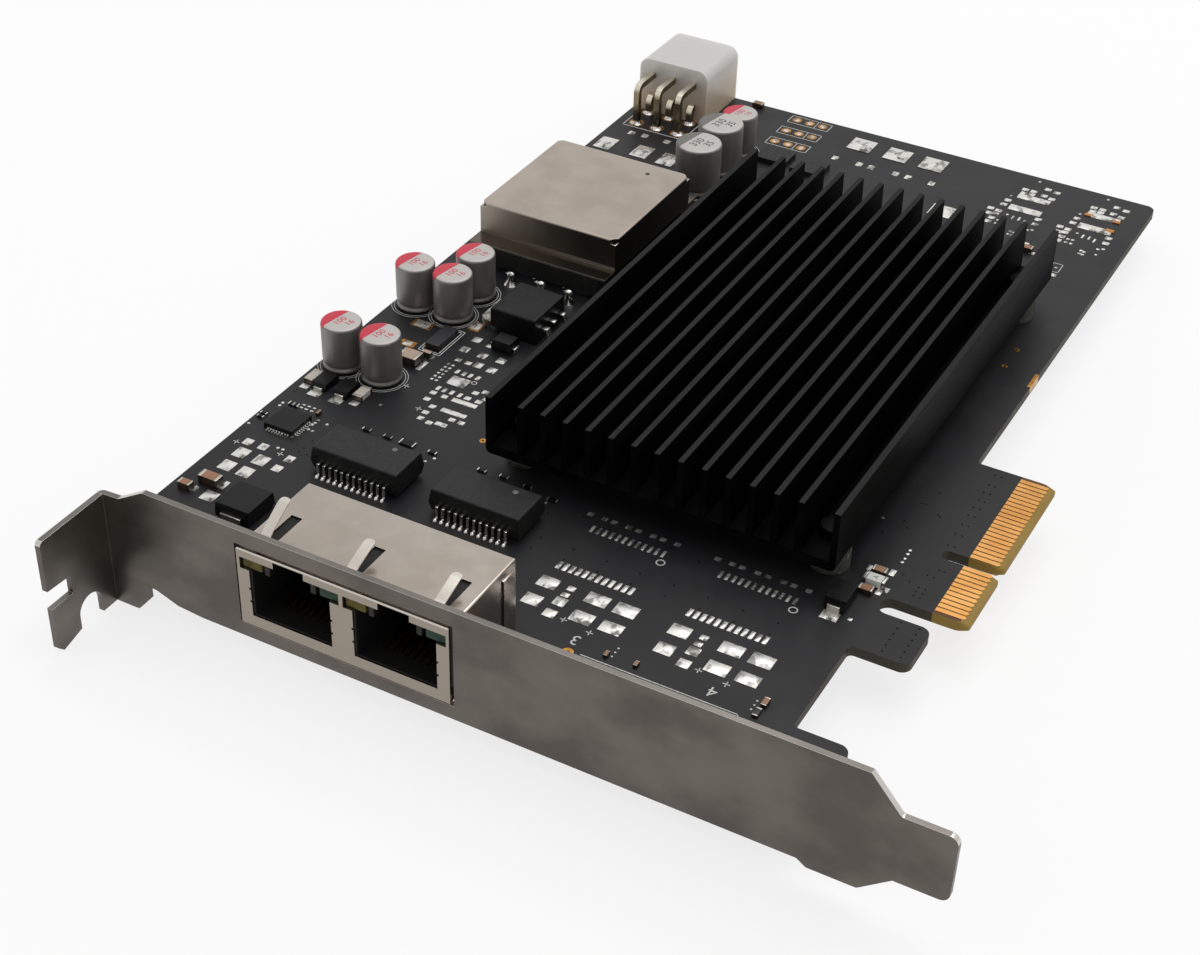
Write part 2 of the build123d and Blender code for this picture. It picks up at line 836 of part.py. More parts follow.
def switch_body():
    """Moulded body of the switching transistor."""
    x0 = switch_x - switch_length / 2
    body = block(x0, x0 + switch_length, switch_y - switch_width / 2, switch_y + switch_width / 2,
                 switch_tab, switch_height)
    body += block(x0 + 1.2, x0 + switch_length, switch_y - switch_width / 2,
                  switch_y + switch_width / 2, 0, switch_tab)
    body -= block(x0, x0 + 4.0, switch_y - switch_width / 2 + 0.8, switch_y + switch_width / 2 - 0.8,
                  -1, switch_tab)
    return [chamfer(body.edges().group_by(Axis.Z)[-1], 0.2)]


def switch_tab_plate():
    """Copper tab soldered flat to the board."""
    x0 = switch_x - switch_length / 2
    tab = block(x0 - switch_tab_reach, x0 + 4.0, switch_y - switch_width / 2 + 0.8,
                switch_y + switch_width / 2 - 0.8, 0, switch_tab)
    outer = tab.edges().filter_by(Axis.Z).filter_by(lambda e: e.center().X < x0 - switch_tab_reach + 0.01)
    return [chamfer(outer, 1.0)]


def switch_leads():
    """Two formed leads and a cropped one between them."""
    side = switch_x + switch_length / 2
    t = 0.5
    high = switch_lead_height
    long_lead = [(side, high - t), (side, high), (side + switch_lead_reach * 0.4, high),
                 (side + switch_lead_reach * 0.62, t), (side + switch_lead_reach, t),
                 (side + switch_lead_reach, 0), (side + switch_lead_reach * 0.5, 0),
                 (side + switch_lead_reach * 0.3, high - t)]
    leads = []
    for i in (-1, 1):
        y = switch_y + i * switch_lead_pitch
        leads.append(end_strip(long_lead, y - switch_lead_width / 2, y + switch_lead_width / 2))
    leads.append(block(side, side + switch_lead_reach * 0.35, switch_y - switch_lead_width / 2,
                       switch_y + switch_lead_width / 2, high - t, high))
    return leads


# Two-terminal parts: centre, length along the terminals, width, height and direction
diode_places = [
    (9.4, 18.0, 6.9, 5.6, 2.45, "y"),
    (board_right - 4.6, 41.9, 5.4, 3.0, 1.9, "y"),
    (19.0, 71.7, 4.3, 2.6, 2.0, "x"),
    (0.9, 49.5, 4.4, 2.5, 1.2, "y"),
    (4.7, 49.5, 4.4, 2.5, 1.2, "y"),
]
ceramic_places = [
    (1.4, 20.8, 3.2, 1.7, 1.4, "x"),
    (-1.0, 18.2, 2.0, 1.25, 1.1, "x"),
    (8.3, 61.4, 3.2, 2.5, 1.4, "x"),
    (9.6, 64.0, 1.6, 0.8, 0.8, "x"),
    (4.5, 42.5, 1.0, 0.5, 0.5, "y"),
    (board_right - 2.4, 50.0, 2.0, 1.25, 0.8, "x"),
    (board_right - 2.5, 45.4, 2.0, 1.25, 0.8, "x"),
    (78.5, 143.1, 2.0, 1.25, 0.9, "x"),
    (16.6, board_rear - 1.1, 2.0, 1.25, 0.9, "x"),
    (66.9, 16.6, 1.0, 0.6, 0.5, "y"),
    (71.1, 16.8, 1.0, 0.6, 0.5, "y"),
    (board_right - 4.6, 18.5, 1.6, 0.8, 0.6, "y"),
]
resistor_places = [
    (9.35, 68.7, 5.9, 2.4, 1.0, "y"),
    (-1.4, 49.7, 3.0, 1.5, 0.9, "y"),
    (7.35, 49.7, 3.0, 1.6, 0.9, "y"),
    (board_right - 4.8, 16.4, 1.6, 0.8, 0.45, "y"),
]
indicator_places = [(board_right - 2.1, 47.6, 3.2, 1.6, 1.1, "x")]
diode_terminal = 0.35
chip_cap = 0.16


def oriented(x, y, way, solid):
    """A part drawn along X at the centre, turned and put in its place."""
    return Pos(x, y, 0) * Rot(0, 0, 90 if way == "y" else 0) * solid


def diode_bodies():
    """Moulded bodies with drafted ends, raised on their folded terminals."""
    bodies = []
    for x, y, length, width, height, way in diode_places:
        mid = length / 2 - diode_terminal
        profile = [(-mid, 0.25), (mid, 0.25), (mid, height * 0.5), (mid - 0.25, height),
                   (-mid + 0.25, height), (-mid, height * 0.5)]
        body = end_strip(profile, -width / 2, width / 2)
        bodies.append(oriented(x, y, way, body))
    return bodies


def diode_terminals():
    """Tinned strips folded from each body's ends and under it."""
    strips = []
    for x, y, length, width, height, way in diode_places:
        half = length / 2
        t = 0.2
        for side in (-1, 1):
            high = height * 0.5
            profile = [(side * (half - diode_terminal), high - t), (side * (half - diode_terminal), high),
                       (side * half, high), (side * half, 0), (side * (half - 1.1), 0),
                       (side * (half - 1.1), 0.25), (side * (half - t), 0.25),
                       (side * (half - t), high - t)]
            strips.append(oriented(x, y, way, end_strip(profile, -width * 0.3, width * 0.3)))
    return strips


def chip_bodies(places):
    """Middle blocks of two-terminal chips."""
    bodies = []
    for x, y, length, width, height, way in places:
        cap = length * chip_cap
        bodies.append(oriented(x, y, way, block(-length / 2 + cap, length / 2 - cap,
                                                -width / 2, width / 2, 0, height)))
    return bodies


def chip_ends(places):
    """Tinned ends of two-terminal chips."""
    ends = []
    for x, y, length, width, height, way in places:
        cap = length * chip_cap
        for side in (-1, 1):
            low, high = sorted((side * length / 2, side * (length / 2 - cap)))
            ends.append(oriented(x, y, way, block(low, high, -width / 2, width / 2, 0, height)))
    return ends


# Supply controller in a leadless square package
quad_x = 2.1
quad_y = 38.2
quad_width = 5.0
quad_height = 0.9


def quad_chip():
    body = square_chip(quad_x, quad_y, quad_width, 0, quad_height)
    return [chamfer(body.edges().group_by(Axis.Z)[-1], 0.08)]


# Switch drivers behind the heatsink, in flat leadless packages
driver_places = [(28.2, 150.9), (35.2, 150.2)]
driver_length = 5.8
driver_width = 5.0
driver_height = 0.9


def driver_chips():
    return [block(x - driver_length / 2, x + driver_length / 2, y - driver_width / 2,
                  y + driver_width / 2, 0, driver_height) for x, y in driver_places]


def save(name, solids):
    """One STEP file for each node, with its solids side by side."""
    shape = solids[0] if len(solids) == 1 else Compound(children=solids)
    export_step(shape, f"parts/{name}.step")


os.makedirs("parts", exist_ok=True)
save("circuit_board", circuit_board())
save("edge_contacts", edge_contacts())
save("bracket", bracket())
save("bracket_screws", bracket_screws())
save("jack_shield", jack_shield())
save("jack_housing", jack_housing())
save("jack_lights_yellow", jack_lights(-1))
save("jack_lights_green", jack_lights(1))
save("jack_wires", jack_wires())
save("jack_pin_tails", tails(jack_pin_places(), jack_pin))
save("heatsink", heatsink())
save("heatsink_push_pins", heatsink_push_pins())
save("heatsink_spacers", heatsink_spacers())
save("controller_substrate", controller_substrate())
save("controller_lid", controller_lid())
save("controller_pad", controller_pad())
save("line_transformer_bodies", module_bodies())
save("line_transformer_leads", module_leads())
save("supply_transformer_shield", supply_shield_can())
save("supply_transformer_bobbin", supply_bobbin())
save("supply_transformer_core", supply_core())
save("supply_transformer_pins", supply_pins())
save("small_capacitor_cans", [can_body(x, y, small_can_radius, small_can_height) for x, y in small_cans])
save("large_capacitor_cans", [can_body(x, y, large_can_radius, large_can_height) for x, y in large_cans])
save("capacitor_lead_tails", tails(can_lead_places(), can_lead))
save("supply_transformer_tails", tails(supply_pin_places(), supply_pin))
save("power_header_housing", header_housing())
save("power_header_pins", header_pins())
save("switch_body", switch_body())
save("switch_tab", switch_tab_plate())
save("switch_leads", switch_leads())
save("diode_bodies", diode_bodies())
save("diode_terminals", diode_terminals())
save("ceramic_capacitors", chip_bodies(ceramic_places))
save("ceramic_capacitor_ends", chip_ends(ceramic_places))
save("chip_resistors", chip_bodies(resistor_places))
save("chip_resistor_ends", chip_ends(resistor_places))
save("indicator_chip", chip_bodies(indicator_places))
save("indicator_chip_ends", chip_ends(indicator_places))
save("supply_controller", quad_chip())
save("driver_chips", driver_chips())
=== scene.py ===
from math import cos, pi, radians, sin, sqrt, tau

import bmesh
import bpy
from bmesh.types import BMEdge, BMFace, BMVert
from mathutils import Matrix, Vector


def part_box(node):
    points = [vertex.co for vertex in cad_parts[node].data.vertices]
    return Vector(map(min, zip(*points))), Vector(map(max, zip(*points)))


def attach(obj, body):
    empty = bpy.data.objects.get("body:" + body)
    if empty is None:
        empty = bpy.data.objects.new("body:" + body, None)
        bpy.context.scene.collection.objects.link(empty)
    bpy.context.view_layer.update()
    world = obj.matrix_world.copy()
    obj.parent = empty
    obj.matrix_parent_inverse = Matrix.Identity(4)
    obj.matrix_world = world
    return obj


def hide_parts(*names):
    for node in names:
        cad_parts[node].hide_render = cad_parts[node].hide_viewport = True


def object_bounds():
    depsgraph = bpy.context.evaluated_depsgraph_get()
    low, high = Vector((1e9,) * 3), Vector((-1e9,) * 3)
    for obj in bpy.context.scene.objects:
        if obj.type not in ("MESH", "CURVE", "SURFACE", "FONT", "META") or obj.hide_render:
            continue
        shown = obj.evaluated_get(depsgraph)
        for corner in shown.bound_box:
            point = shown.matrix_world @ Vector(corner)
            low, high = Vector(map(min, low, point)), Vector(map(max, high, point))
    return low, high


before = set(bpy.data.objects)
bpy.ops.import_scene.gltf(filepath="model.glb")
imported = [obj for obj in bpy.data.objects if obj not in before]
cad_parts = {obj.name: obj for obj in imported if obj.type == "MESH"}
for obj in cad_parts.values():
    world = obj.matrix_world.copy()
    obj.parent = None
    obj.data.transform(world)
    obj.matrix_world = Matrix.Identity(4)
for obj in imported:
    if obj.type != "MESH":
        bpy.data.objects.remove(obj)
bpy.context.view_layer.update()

# Bare circuit board. A stack of glass cloth and resin, pressed, drilled and routed, under a matt
# black mask. The mask stops short of the contacts, where the brown laminate shows, as it does on
# every routed edge.


class Shade:
    """A value in a finish. Sums, products and comparisons on it add their Math nodes."""

    def __init__(self, tree, socket):
        self.tree = tree
        self.socket = socket

    def math(self, operation, first, second):
        node = self.tree.nodes.new("ShaderNodeMath")
        node.operation = operation
        for socket, value in zip(node.inputs, (first, second)):
            if isinstance(value, Shade):
                self.tree.links.new(value.socket, socket)
            else:
                socket.default_value = value
        return Shade(self.tree, node.outputs[0])

    def __add__(self, other):
        return self.math("ADD", self, other)

    def __sub__(self, other):
        return self.math("SUBTRACT", self, other)

    def __rsub__(self, other):
        return self.math("SUBTRACT", other, self)

    def __mul__(self, other):
        return self.math("MULTIPLY", self, other)

    def __gt__(self, other):
        return self.math("GREATER_THAN", self, other)

    def __lt__(self, other):
        return self.math("LESS_THAN", self, other)

    def __abs__(self):
        return self.math("ABSOLUTE", self, 0)


def tone(red, green, blue):
    """A colour as it looks on a screen, from 0 to 255, for a shader's socket."""
    screen = [level / 255 for level in (red, green, blue)]
    linear = [s / 12.92 if s < 0.04 else ((s + 0.055) / 1.055) ** 2.4 for s in screen]
    return (*linear, 1)


class Finish:
    """The finish of one material: its shader, and the nodes that vary it over the surface."""

    def __init__(self, name, colour, roughness, **constants):
        self.material = bpy.data.materials.new(name)
        self.material.use_nodes = True
        self.tree = self.material.node_tree
        self.shader = self.tree.nodes["Principled BSDF"]
        self.feed(Base_Color=colour, Roughness=roughness, **constants)

    def feed(self, **values):
        """Sets or links the shader's sockets, by their names with _ for each space."""
        for name, value in values.items():
            self.connect(self.shader.inputs[name.replace("_", " ")], value)

    def connect(self, socket, value):
        if isinstance(value, Shade):
            self.tree.links.new(value.socket, socket)
        else:
            socket.default_value = value

    def node(self, kind, settings, values, output=0):
        """Adds a node: its settings first, then what its sockets hold or are linked to."""
        made = self.tree.nodes.new(kind)
        for setting, value in settings.items():
            setattr(made, setting, value)
        for name, value in values.items():
            self.connect(made.inputs[name], value)
        return Shade(self.tree, made.outputs[output])

    def place(self, stretch=(1, 1, 1)):
        """Where a point of the card is, in millimetres, drawn out along an axis by its stretch."""
        metres = self.node("ShaderNodeTexCoord", {}, {}, "Object")
        scale = [1000 / s for s in stretch]
        return self.node("ShaderNodeVectorMath", {"operation": "MULTIPLY"}, {0: metres, 1: scale})

    def along(self, axis):
        """One coordinate of a point of the card, in millimetres."""
        return self.node("ShaderNodeSeparateXYZ", {}, {0: self.place()}, axis)

    def facing(self, axis):
        """How far the surface faces along an axis, from -1 to 1."""
        normal = self.node("ShaderNodeNewGeometry", {}, {}, "Normal")
        return self.node("ShaderNodeSeparateXYZ", {}, {0: normal}, axis)

    def noise(self, size, detail=2.0, stretch=(1, 1, 1)):
        """Soft random spots of about this size in millimetres, around 0.5."""
        values = {"Vector": self.place(stretch), "Scale": 1 / size, "Detail": detail}
        return self.node("ShaderNodeTexNoise", {}, values)

    def ramp(self, value, start, end, low=0.0, high=1.0):
        """Runs from low to high as the value goes from start to end."""
        values = {"Value": value, "From Min": start, "From Max": end, "To Min": low, "To Max": high}
        return self.node("ShaderNodeMapRange", {"interpolation_type": "SMOOTHSTEP"}, values)

    def wander(self, size, detail, low, high):
        """A value that drifts between two, in random spots of about this size in millimetres."""
        return self.ramp(self.noise(size, detail), 0.3, 0.7, low, high)

    def blend(self, share, first, second):
        """A colour between two, by a share of the second."""
        values = {0: share, 6: first, 7: second}
        return self.node("ShaderNodeMix", {"data_type": "RGBA"}, values, 2)

    def clouded(self, size, detail, first, second, start=0.35, end=0.7, stretch=(1, 1, 1)):
        """A colour that drifts between two, in random spots of about this size in millimetres."""
        share = self.ramp(self.noise(size, detail, stretch), start, end)
        return self.blend(share, first, second)

    def worn(self, size, detail, low, high):
        """Lets the roughness drift between two values."""
        self.feed(Roughness=self.wander(size, detail, low, high))

    def bump(self, height, depth):
        """Raises the surface by a height from 0 to 1, to a depth in millimetres."""
        self.feed(Normal=self.node("ShaderNodeBump", {}, {"Height": height, "Distance": depth / 1000}))

    def grain(self, size, detail, depth):
        """Pits the surface in random spots of about this size, to a depth in millimetres."""
        self.bump(self.noise(size, detail), depth)


def shown(name, mesh, finish):
    """Puts a mesh with its finish in the scene."""
    data = bpy.data.meshes.new(name)
    mesh.to_mesh(data)
    mesh.free()
    data.materials.append(finish.material)
    made = bpy.data.objects.new(name, data)
    bpy.context.scene.collection.objects.link(made)
    return made


def piece(name, mesh, finish, slot, stands_for=(), smooth=30):
    """Closes a mesh drawn in millimetres, and makes it a piece of the card."""
    bmesh.ops.remove_doubles(mesh, verts=mesh.verts, dist=0.0005)
    bmesh.ops.recalc_face_normals(mesh, faces=mesh.faces)
    for face in mesh.faces:
        face.smooth = True
    for edge in mesh.edges:
        edge.smooth = edge.calc_face_angle(pi) < radians(smooth)
    bmesh.ops.scale(mesh, vec=(0.001, 0.001, 0.001), verts=mesh.verts)
    made = shown(name, mesh, finish)
    if stands_for:
        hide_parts(*stands_for)
    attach(made, "root")
    return made


def rounded(mesh, edges, width, segments):
    """Rounds edges to a width in millimetres."""
    bmesh.ops.bevel(mesh, geom=edges, offset=width, offset_type="OFFSET", segments=segments,
                    profile=0.5, affect="EDGES", material=-1, clamp_overlap=True)


def merged(node, dissolve=True):
    """A copy of a node's mesh in millimetres, with its doubled points and its seams merged."""
    mesh = bmesh.new()
    mesh.from_mesh(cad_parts[node].data)
    bmesh.ops.scale(mesh, vec=(1000, 1000, 1000), verts=mesh.verts)
    bmesh.ops.remove_doubles(mesh, verts=mesh.verts, dist=0.001)
    if dissolve:
        bmesh.ops.dissolve_limit(mesh, angle_limit=radians(0.5), verts=mesh.verts, edges=mesh.edges)
    return mesh


def sharp_edges(mesh):
    """The edges at which a mesh turns by more than 35 degrees."""
    return [e for e in mesh.edges if e.calc_face_angle(0) > radians(35)]


def eased(node, name, width, finish, slot, segments=2, mesh=None):
    """A copy of a node's mesh with its sharp edges rounded, which stands for the node."""
    mesh = mesh or merged(node)
    rounded(mesh, sharp_edges(mesh), width, segments)
    made = piece(name, mesh, finish, slot, [node])
    flat = made.modifiers.new("flat_faces", "WEIGHTED_NORMAL")
    flat.keep_sharp = True
    return made


def bounds_of(node):
    """A node's lowest and highest corners, in millimetres."""
    return [corner * 1000 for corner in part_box(node)]


board_low, board_high = bounds_of("circuit_board")
contacts_low, contacts_high = bounds_of("edge_contacts")
mask_tone = tone(27, 27, 30)
mask_light = tone(33, 33, 35)
rim_tone = tone(70, 62, 40)
resin_tone = tone(158, 130, 58)
resin_deep = tone(128, 100, 42)
finger_gap_shade_tone = tone(92, 58, 28)
mask_gap = 0.05
tongue_margin = 1.5
bare_tip = 0.35
tip_bevel = 1.3
tip_round = 0.9
board_round = 0.06

mask = Finish("matt_black_mask", mask_tone, 0.4, Specular_IOR_Level=0.3)
clouds = mask.clouded(22, 3, mask_tone, mask_light)
resin_clouds = mask.blend(mask.noise(3, 3, (1, 3, 1)), resin_tone, resin_deep)
tongue = mask.along("X") > contacts_low.x - mask_gap
tongue = tongue * (mask.along("Y") > contacts_low.y - tongue_margin)
# Painted shade: in the finger rows the laminate is painted dark brown, as the shade in the gaps between
# the fingers.
row = (mask.along("X") < contacts_high.x - bare_tip) * (mask.facing("Z") > 0.95)
bare = mask.blend(row, resin_clouds, finger_gap_shade_tone)
side = abs(mask.facing("Z")) < 0.9
edge = mask.blend(side, clouds, mask.blend(mask.noise(0.5, 3, (1, 6, 1)), rim_tone, mask_tone))
mask.feed(Base_Color=mask.blend(tongue, edge, bare),
          Roughness=mask.wander(6, 4, 0.36, 0.46) + side * 0.15)
mask.grain(0.35, 3, 0.008)
mesh = merged("circuit_board")
tips = [e for e in mesh.edges if min(v.co.x for v in e.verts) > board_high.x - tip_bevel
        and abs(e.verts[0].co.y - e.verts[1].co.y) < 0.01]
rounded(mesh, tips, tip_round, 4)
eased("circuit_board", "bare_board", board_round, mask, "board", 1, mesh)

# Vias and bare gold. Small plated holes under the mask, each a faint dark spot, and gold plate where
# the mask is left open: a few round spots and a strip on the board's right edge.


def turned(mesh, profile, x=0.0, y=0.0, steps=24, closed=False):
    """Adds a piece turned about an upright axis from (radius, height) points."""
    verts = [mesh.verts.new((x + radius, y, z)) for radius, z in profile]
    pairs = list(zip(verts, verts[1:]))
    if closed:
        pairs.append((verts[-1], verts[0]))
    edges = [mesh.edges.new(pair) for pair in pairs]
    bmesh.ops.spin(mesh, geom=verts + edges, cent=(x, y, 0), axis=(0, 0, 1), angle=tau,
                   steps=steps, use_merge=True)


def disc(mesh, x, y, radius, height, base=0.0, steps=16):
    """Adds a thin round plate on the board."""
    turned(mesh, [(0, base), (radius, base), (radius, height), (0, height)], x, y, steps)


def ring(mesh, x, y, inner, outer, height, steps=24):
    """Adds a thin flat ring on the board."""
    turned(mesh, [(inner, 0), (outer, 0), (outer, height), (inner, height)], x, y, steps, True)


via_tone = tone(4, 4, 4)
gold_tone = tone(214, 158, 80)
gold_deep = tone(176, 116, 48)
heatsink_low, heatsink_high = bounds_of("heatsink")

hole_mask = Finish("masked_hole", via_tone, 0.5, Specular_IOR_Level=0.1)
hole_mask.worn(0.3, 2, 0.25, 0.5)
gold = Finish("plated_gold", gold_tone, 0.3, Metallic=1.0)
gold.feed(Base_Color=gold.clouded(1.4, 3, gold_tone, gold_deep))
gold.worn(0.5, 3, 0.22, 0.42)

via_radius = 0.16
via_height = 0.02
pair_ys = (47.8, 48.8, 49.8, 52.8, 60.5, 63.35, 65.9, 68.35, 70.4, 72.4, 74.5, 76.55, 79.2)
via_places = [(x, y) for x in (96.35, 97.3) for y in pair_ys]
via_places += [(x, 35.3 + 1.3 * i) for x in (97.05, 99.65) for i in range(6)]
via_places += [(97.35, 54.65), (98.2, 54.65), (94.8, 50.3), (93.5, 51.3), (92.7, 66.2), (93.1, 65.9),
               (91.0, 71.0), (89.7, 67.5), (90.3, 67.7), (89.1, 62.5), (90.0, 61.2), (87.4, 58.6)]
via_places += [(heatsink_low.x + 3 + 4.6 * i, heatsink_low.y - 1.8 - 0.9 * (i % 3)) for i in range(11)]
via_places += [(28.4 + 1.9 * (i % 2), 57 + 5.3 * (i // 2)) for i in range(16)]
via_places += [(7.6 + 1.3 * (i % 3), 33.2 + 1.1 * (i // 2)) for i in range(7)]
via_places += [(47.5 + 5.1 * (i % 8), 30.9 + 2.6 * (i // 8)) for i in range(16)]
via_places += [(-2.0 + 2.4 * (i % 3), 46.2 - 0.7 * (i // 3)) for i in range(5)]
mesh = bmesh.new()
for x, y in via_places:
    disc(mesh, x, y, via_radius, via_height, steps=8)
piece("vias", mesh, hole_mask, "board")

gold_spots = [(28.8, 49.0, 0.55), (81.7, 13.7, 0.5), (84.3, 14.1, 0.4), (62.3, 14.7, 0.8),
              (87.6, 112.7, 0.5), (87.6, 107.3, 0.5), (17.0, 92.4, 0.4)]
gold_height = 0.03
mesh = bmesh.new()
for x, y, radius in gold_spots:
    ring(mesh, x, y, radius * 0.35, radius, gold_height)
piece("gold_spots", mesh, gold, "gold")


def block(mesh, x0, x1, y0, y1, z0, z1):
    """Adds a box between two corners."""
    middle = ((x0 + x1) / 2, (y0 + y1) / 2, (z0 + z1) / 2)
    size = (x1 - x0, y1 - y0, z1 - z0)
    return bmesh.ops.create_cube(mesh, size=1, matrix=Matrix.LocRotScale(middle, None, size))["verts"]


def slab(mesh, x, y, width, depth, height, base=0.0):
    """Adds a box that stands at a level, centred at a place."""
    return block(mesh, x - width / 2, x + width / 2, y - depth / 2, y + depth / 2, base, base + height)


plating_y = (103.6, 107.6)
plating_z = (-1.2, gold_height)
plating_land = 0.5
board_right = 93.0
mesh = bmesh.new()
block(mesh, board_right - plating_land, board_right + gold_height, *plating_y, *plating_z)
piece("edge_plating", mesh, gold, "gold")

# Contact fingers. Hard gold over nickel, plated on both faces of the tongue in two groups, either
# side of the key notch.
finger_tone = tone(230, 173, 104)
finger_deep = tone(218, 156, 86)
finger_width = 0.78
finger_thickness = 0.06
finger_overrun = 0.1
finger_point = 0.3
notch_y = 58.3
first_finger = 1.5
rear_count = 21
front_count = 11
fingers = Finish("hard_gold", finger_tone, 0.3, Metallic=1.0)
fingers.feed(Base_Color=fingers.clouded(5, 3, finger_tone, finger_deep))
fingers.worn(2, 3, 0.26, 0.36)
finger_ys = [notch_y + first_finger + i for i in range(rear_count)]
finger_ys += [notch_y - first_finger - i for i in range(front_count)]
mesh = bmesh.new()
for y in finger_ys:
    for base in (0, contacts_low.z):
        verts = block(mesh, contacts_low.x, contacts_high.x + finger_overrun, y - finger_width / 2,
                      y + finger_width / 2, base, base + finger_thickness)
        points = [e for e in mesh.edges if e.verts[0] in verts and e.verts[1] in verts
                  and min(v.co.x for v in e.verts) > contacts_high.x
                  and abs(e.verts[0].co.y - e.verts[1].co.y) < 0.01]
        rounded(mesh, points, finger_point, 1)
piece("pointed_fingers", mesh, fingers, "gold", ["edge_contacts"])

# Unfilled solder pads. Tinned copper lands left open for parts that this version doesn't carry.
# The molten tin was levelled by air, so each is a little crowned and streaked.


def pads(mesh, places):
    """Adds a crowned pad at each (x, y, width, depth), as tall as its share of the shorter side."""
    for x, y, width, depth in places:
        short = min(width, depth)
        height = 0.09 * short
        verts = slab(mesh, x, y, width, depth, height * 0.25)
        top = max((f for v in verts for f in v.link_faces), key=lambda f: f.calc_center_median().z)
        bmesh.ops.inset_region(mesh, faces=[top], thickness=short * 0.38, depth=height * 0.75)


tin_light = tone(238, 236, 230)
tin_streak_and_shade = tone(98, 96, 92)
tin = Finish("levelled_tin", tin_light, 0.3, Metallic=0.88)
smears = tin.ramp(tin.noise(1.5, 3, (1, 1.6, 1)), 0.52, 0.62)
# Facets that face forward or to the right are painted darker, as shade. The smears are the tin's own
# streaks.
lee = tin.ramp(tin.facing("X") - tin.facing("Y") + tin.noise(1.2, 2) * 0.3, 0.22, 0.4)
tin.feed(Base_Color=tin.blend(smears * 0.7 + lee * 0.75, tin_light, tin_streak_and_shade))
tin.worn(1.2, 2, 0.24, 0.4)
tin.grain(0.8, 2, 0.02)

port_pads = [
    (53.2, 25.6, 2.8, 2.3), (53.1, 21.5, 2.5, 2.2), (56.5, 26.0, 1.1, 1.0), (56.4, 24.5, 1.1, 0.9),
    (56.5, 22.9, 1.7, 1.7), (56.5, 20.2, 1.7, 1.6), (60.6, 25.7, 3.2, 2.3), (64.9, 25.7, 3.2, 2.4),
    (60.6, 21.5, 3.1, 2.3), (64.9, 21.6, 3.1, 2.2),
]
port_pads += [(52.6 + i, 29.6, 0.6, 1.6) for i in range(12)]
port_pads += [(52.6 + i, 38.8, 0.45, 1.5) for i in range(12)]
port_pads += [(x, 41.6, 0.9, 0.8) for x in (50.8, 53.0, 54.5, 56.8, 58.3, 60.6, 62.1, 64.3)]
port_groups = (0, 19.65)

driver_pads = [(0, 160.9, 5.8, 1.75), (0, 156.3, 5.8, 1.95)]
driver_pads += [(dx, y, 1.15, 1.0) for dx, y in (
    (-2.5, 163.6), (-0.95, 163.65), (-2.3, 162.2), (-0.95, 162.45), (1.0, 165.7), (2.75, 165.3),
    (1.15, 163.1), (2.7, 162.6), (-3.85, 158.3), (-4.0, 156.5), (-5.5, 154.1), (-4.0, 153.85),
    (-5.15, 152.3), (-4.1, 152.6), (-4.15, 150.9), (-4.3, 149.4), (3.05, 154.4), (3.15, 152.5))]
driver_pads += [(dx, y, 0.55, 0.5) for dx, y in (
    (-2.9, 149.4), (-2.0, 149.4), (-2.9, 150.6), (-2.1, 150.7), (0.3, 148.0), (0.9, 147.8),
    (3.4, 150.4), (2.6, 149.9), (0.3, 146.9), (0.9, 146.8))]
driver_pads += [(-1.0, 152.8, 0.35, 1.3), (0.1, 152.9, 0.35, 1.3), (1.15, 152.4, 0.35, 1.3)]
driver_centres = (73.55, 86.15)

supply_pads = [
    (0.7, 28.8, 2.1, 2.3), (4.2, 28.7, 2.1, 2.3), (0.8, 25.3, 2.1, 2.3), (4.0, 25.3, 2.1, 2.3),
    (-0.1, 31.5, 1.35, 1.5), (2.5, 31.6, 1.35, 1.5), (7.5, 31.0, 1.25, 1.6), (7.3, 28.3, 1.4, 1.5),
    (-1.5, 47.5, 1.4, 1.2), (0.9, 46.6, 2.0, 1.4), (4.7, 46.6, 2.0, 1.4), (7.4, 47.5, 1.4, 1.2),
    (3.1, 18.2, 2.2, 2.2), (3.35, 21.3, 0.7, 1.9), (0.35, 18.6, 0.7, 1.3), (10.6, 63.9, 0.5, 1.1),
    (10.5, 61.2, 0.8, 2.6), (88.4, 38.3, 2.4, 1.8), (91.0, 39.0, 0.6, 0.6),
]
supply_pads += [(x, 42.6, 0.55, 0.3) for x in (1.3, 2.2, 3.2)]
supply_pads += [(x, 43.4, 0.5, 0.3) for x in (1.3, 2.2, 3.15)]
square_x = 2.1
square_y = 38.2
square_reach = 2.75
square_steps = [(i - 3.5) * 0.5 for i in range(8)]
for step in square_steps:
    for reach in (-square_reach, square_reach):
        supply_pads += [(square_x + step, square_y + reach, 0.24, 0.6),
                        (square_x + reach, square_y + step, 0.6, 0.24)]
converter_pads = [(x, y, 1.4, 1.5) for x, y in (
    (17.8, 65.7), (20.3, 65.5), (20.2, 68.5), (17.0, 68.3), (13.7, 68.4), (13.9, 71.7))]
converter_pads += [(x, y, 1.0, 0.9) for x, y in (
    (14.4, 65.4), (16.2, 65.4), (16.5, 71.2), (15.9, 55.9), (17.9, 55.8), (21.1, 57.2), (21.4, 59.0),
    (22.6, 59.9), (23.0, 57.2), (23.6, 58.3), (16.0, 54.0), (17.8, 52.7), (17.7, 50.9), (17.9, 49.3),
    (22.1, 51.2), (23.7, 51.2), (19.6, 48.9), (20.9, 49.4), (21.8, 49.4))]
converter_pads += [(13.7 + dx, 63.7 - 0.95 * i, 0.45, 0.45) for i in range(6) for dx in (0, 0.8)]
converter_pads += [(x, 62.6, 0.6, 1.1) for x in (16.0, 17.2, 18.3, 19.6)]
converter_pads += [(x, 57.3, 0.6, 1.1) for x in (15.9, 17.0, 18.3, 19.7)]
converter_pads += [(17.65, 60.2, 3.1, 2.4), (21.4, 55.85, 4.2, 1.0), (21.4, 52.8, 4.2, 1.0),
                   (4.2, 71.2, 2.6, 1.8), (11.7, 75.0, 1.6, 2.0), (5.2, 65.4, 1.4, 1.2)]
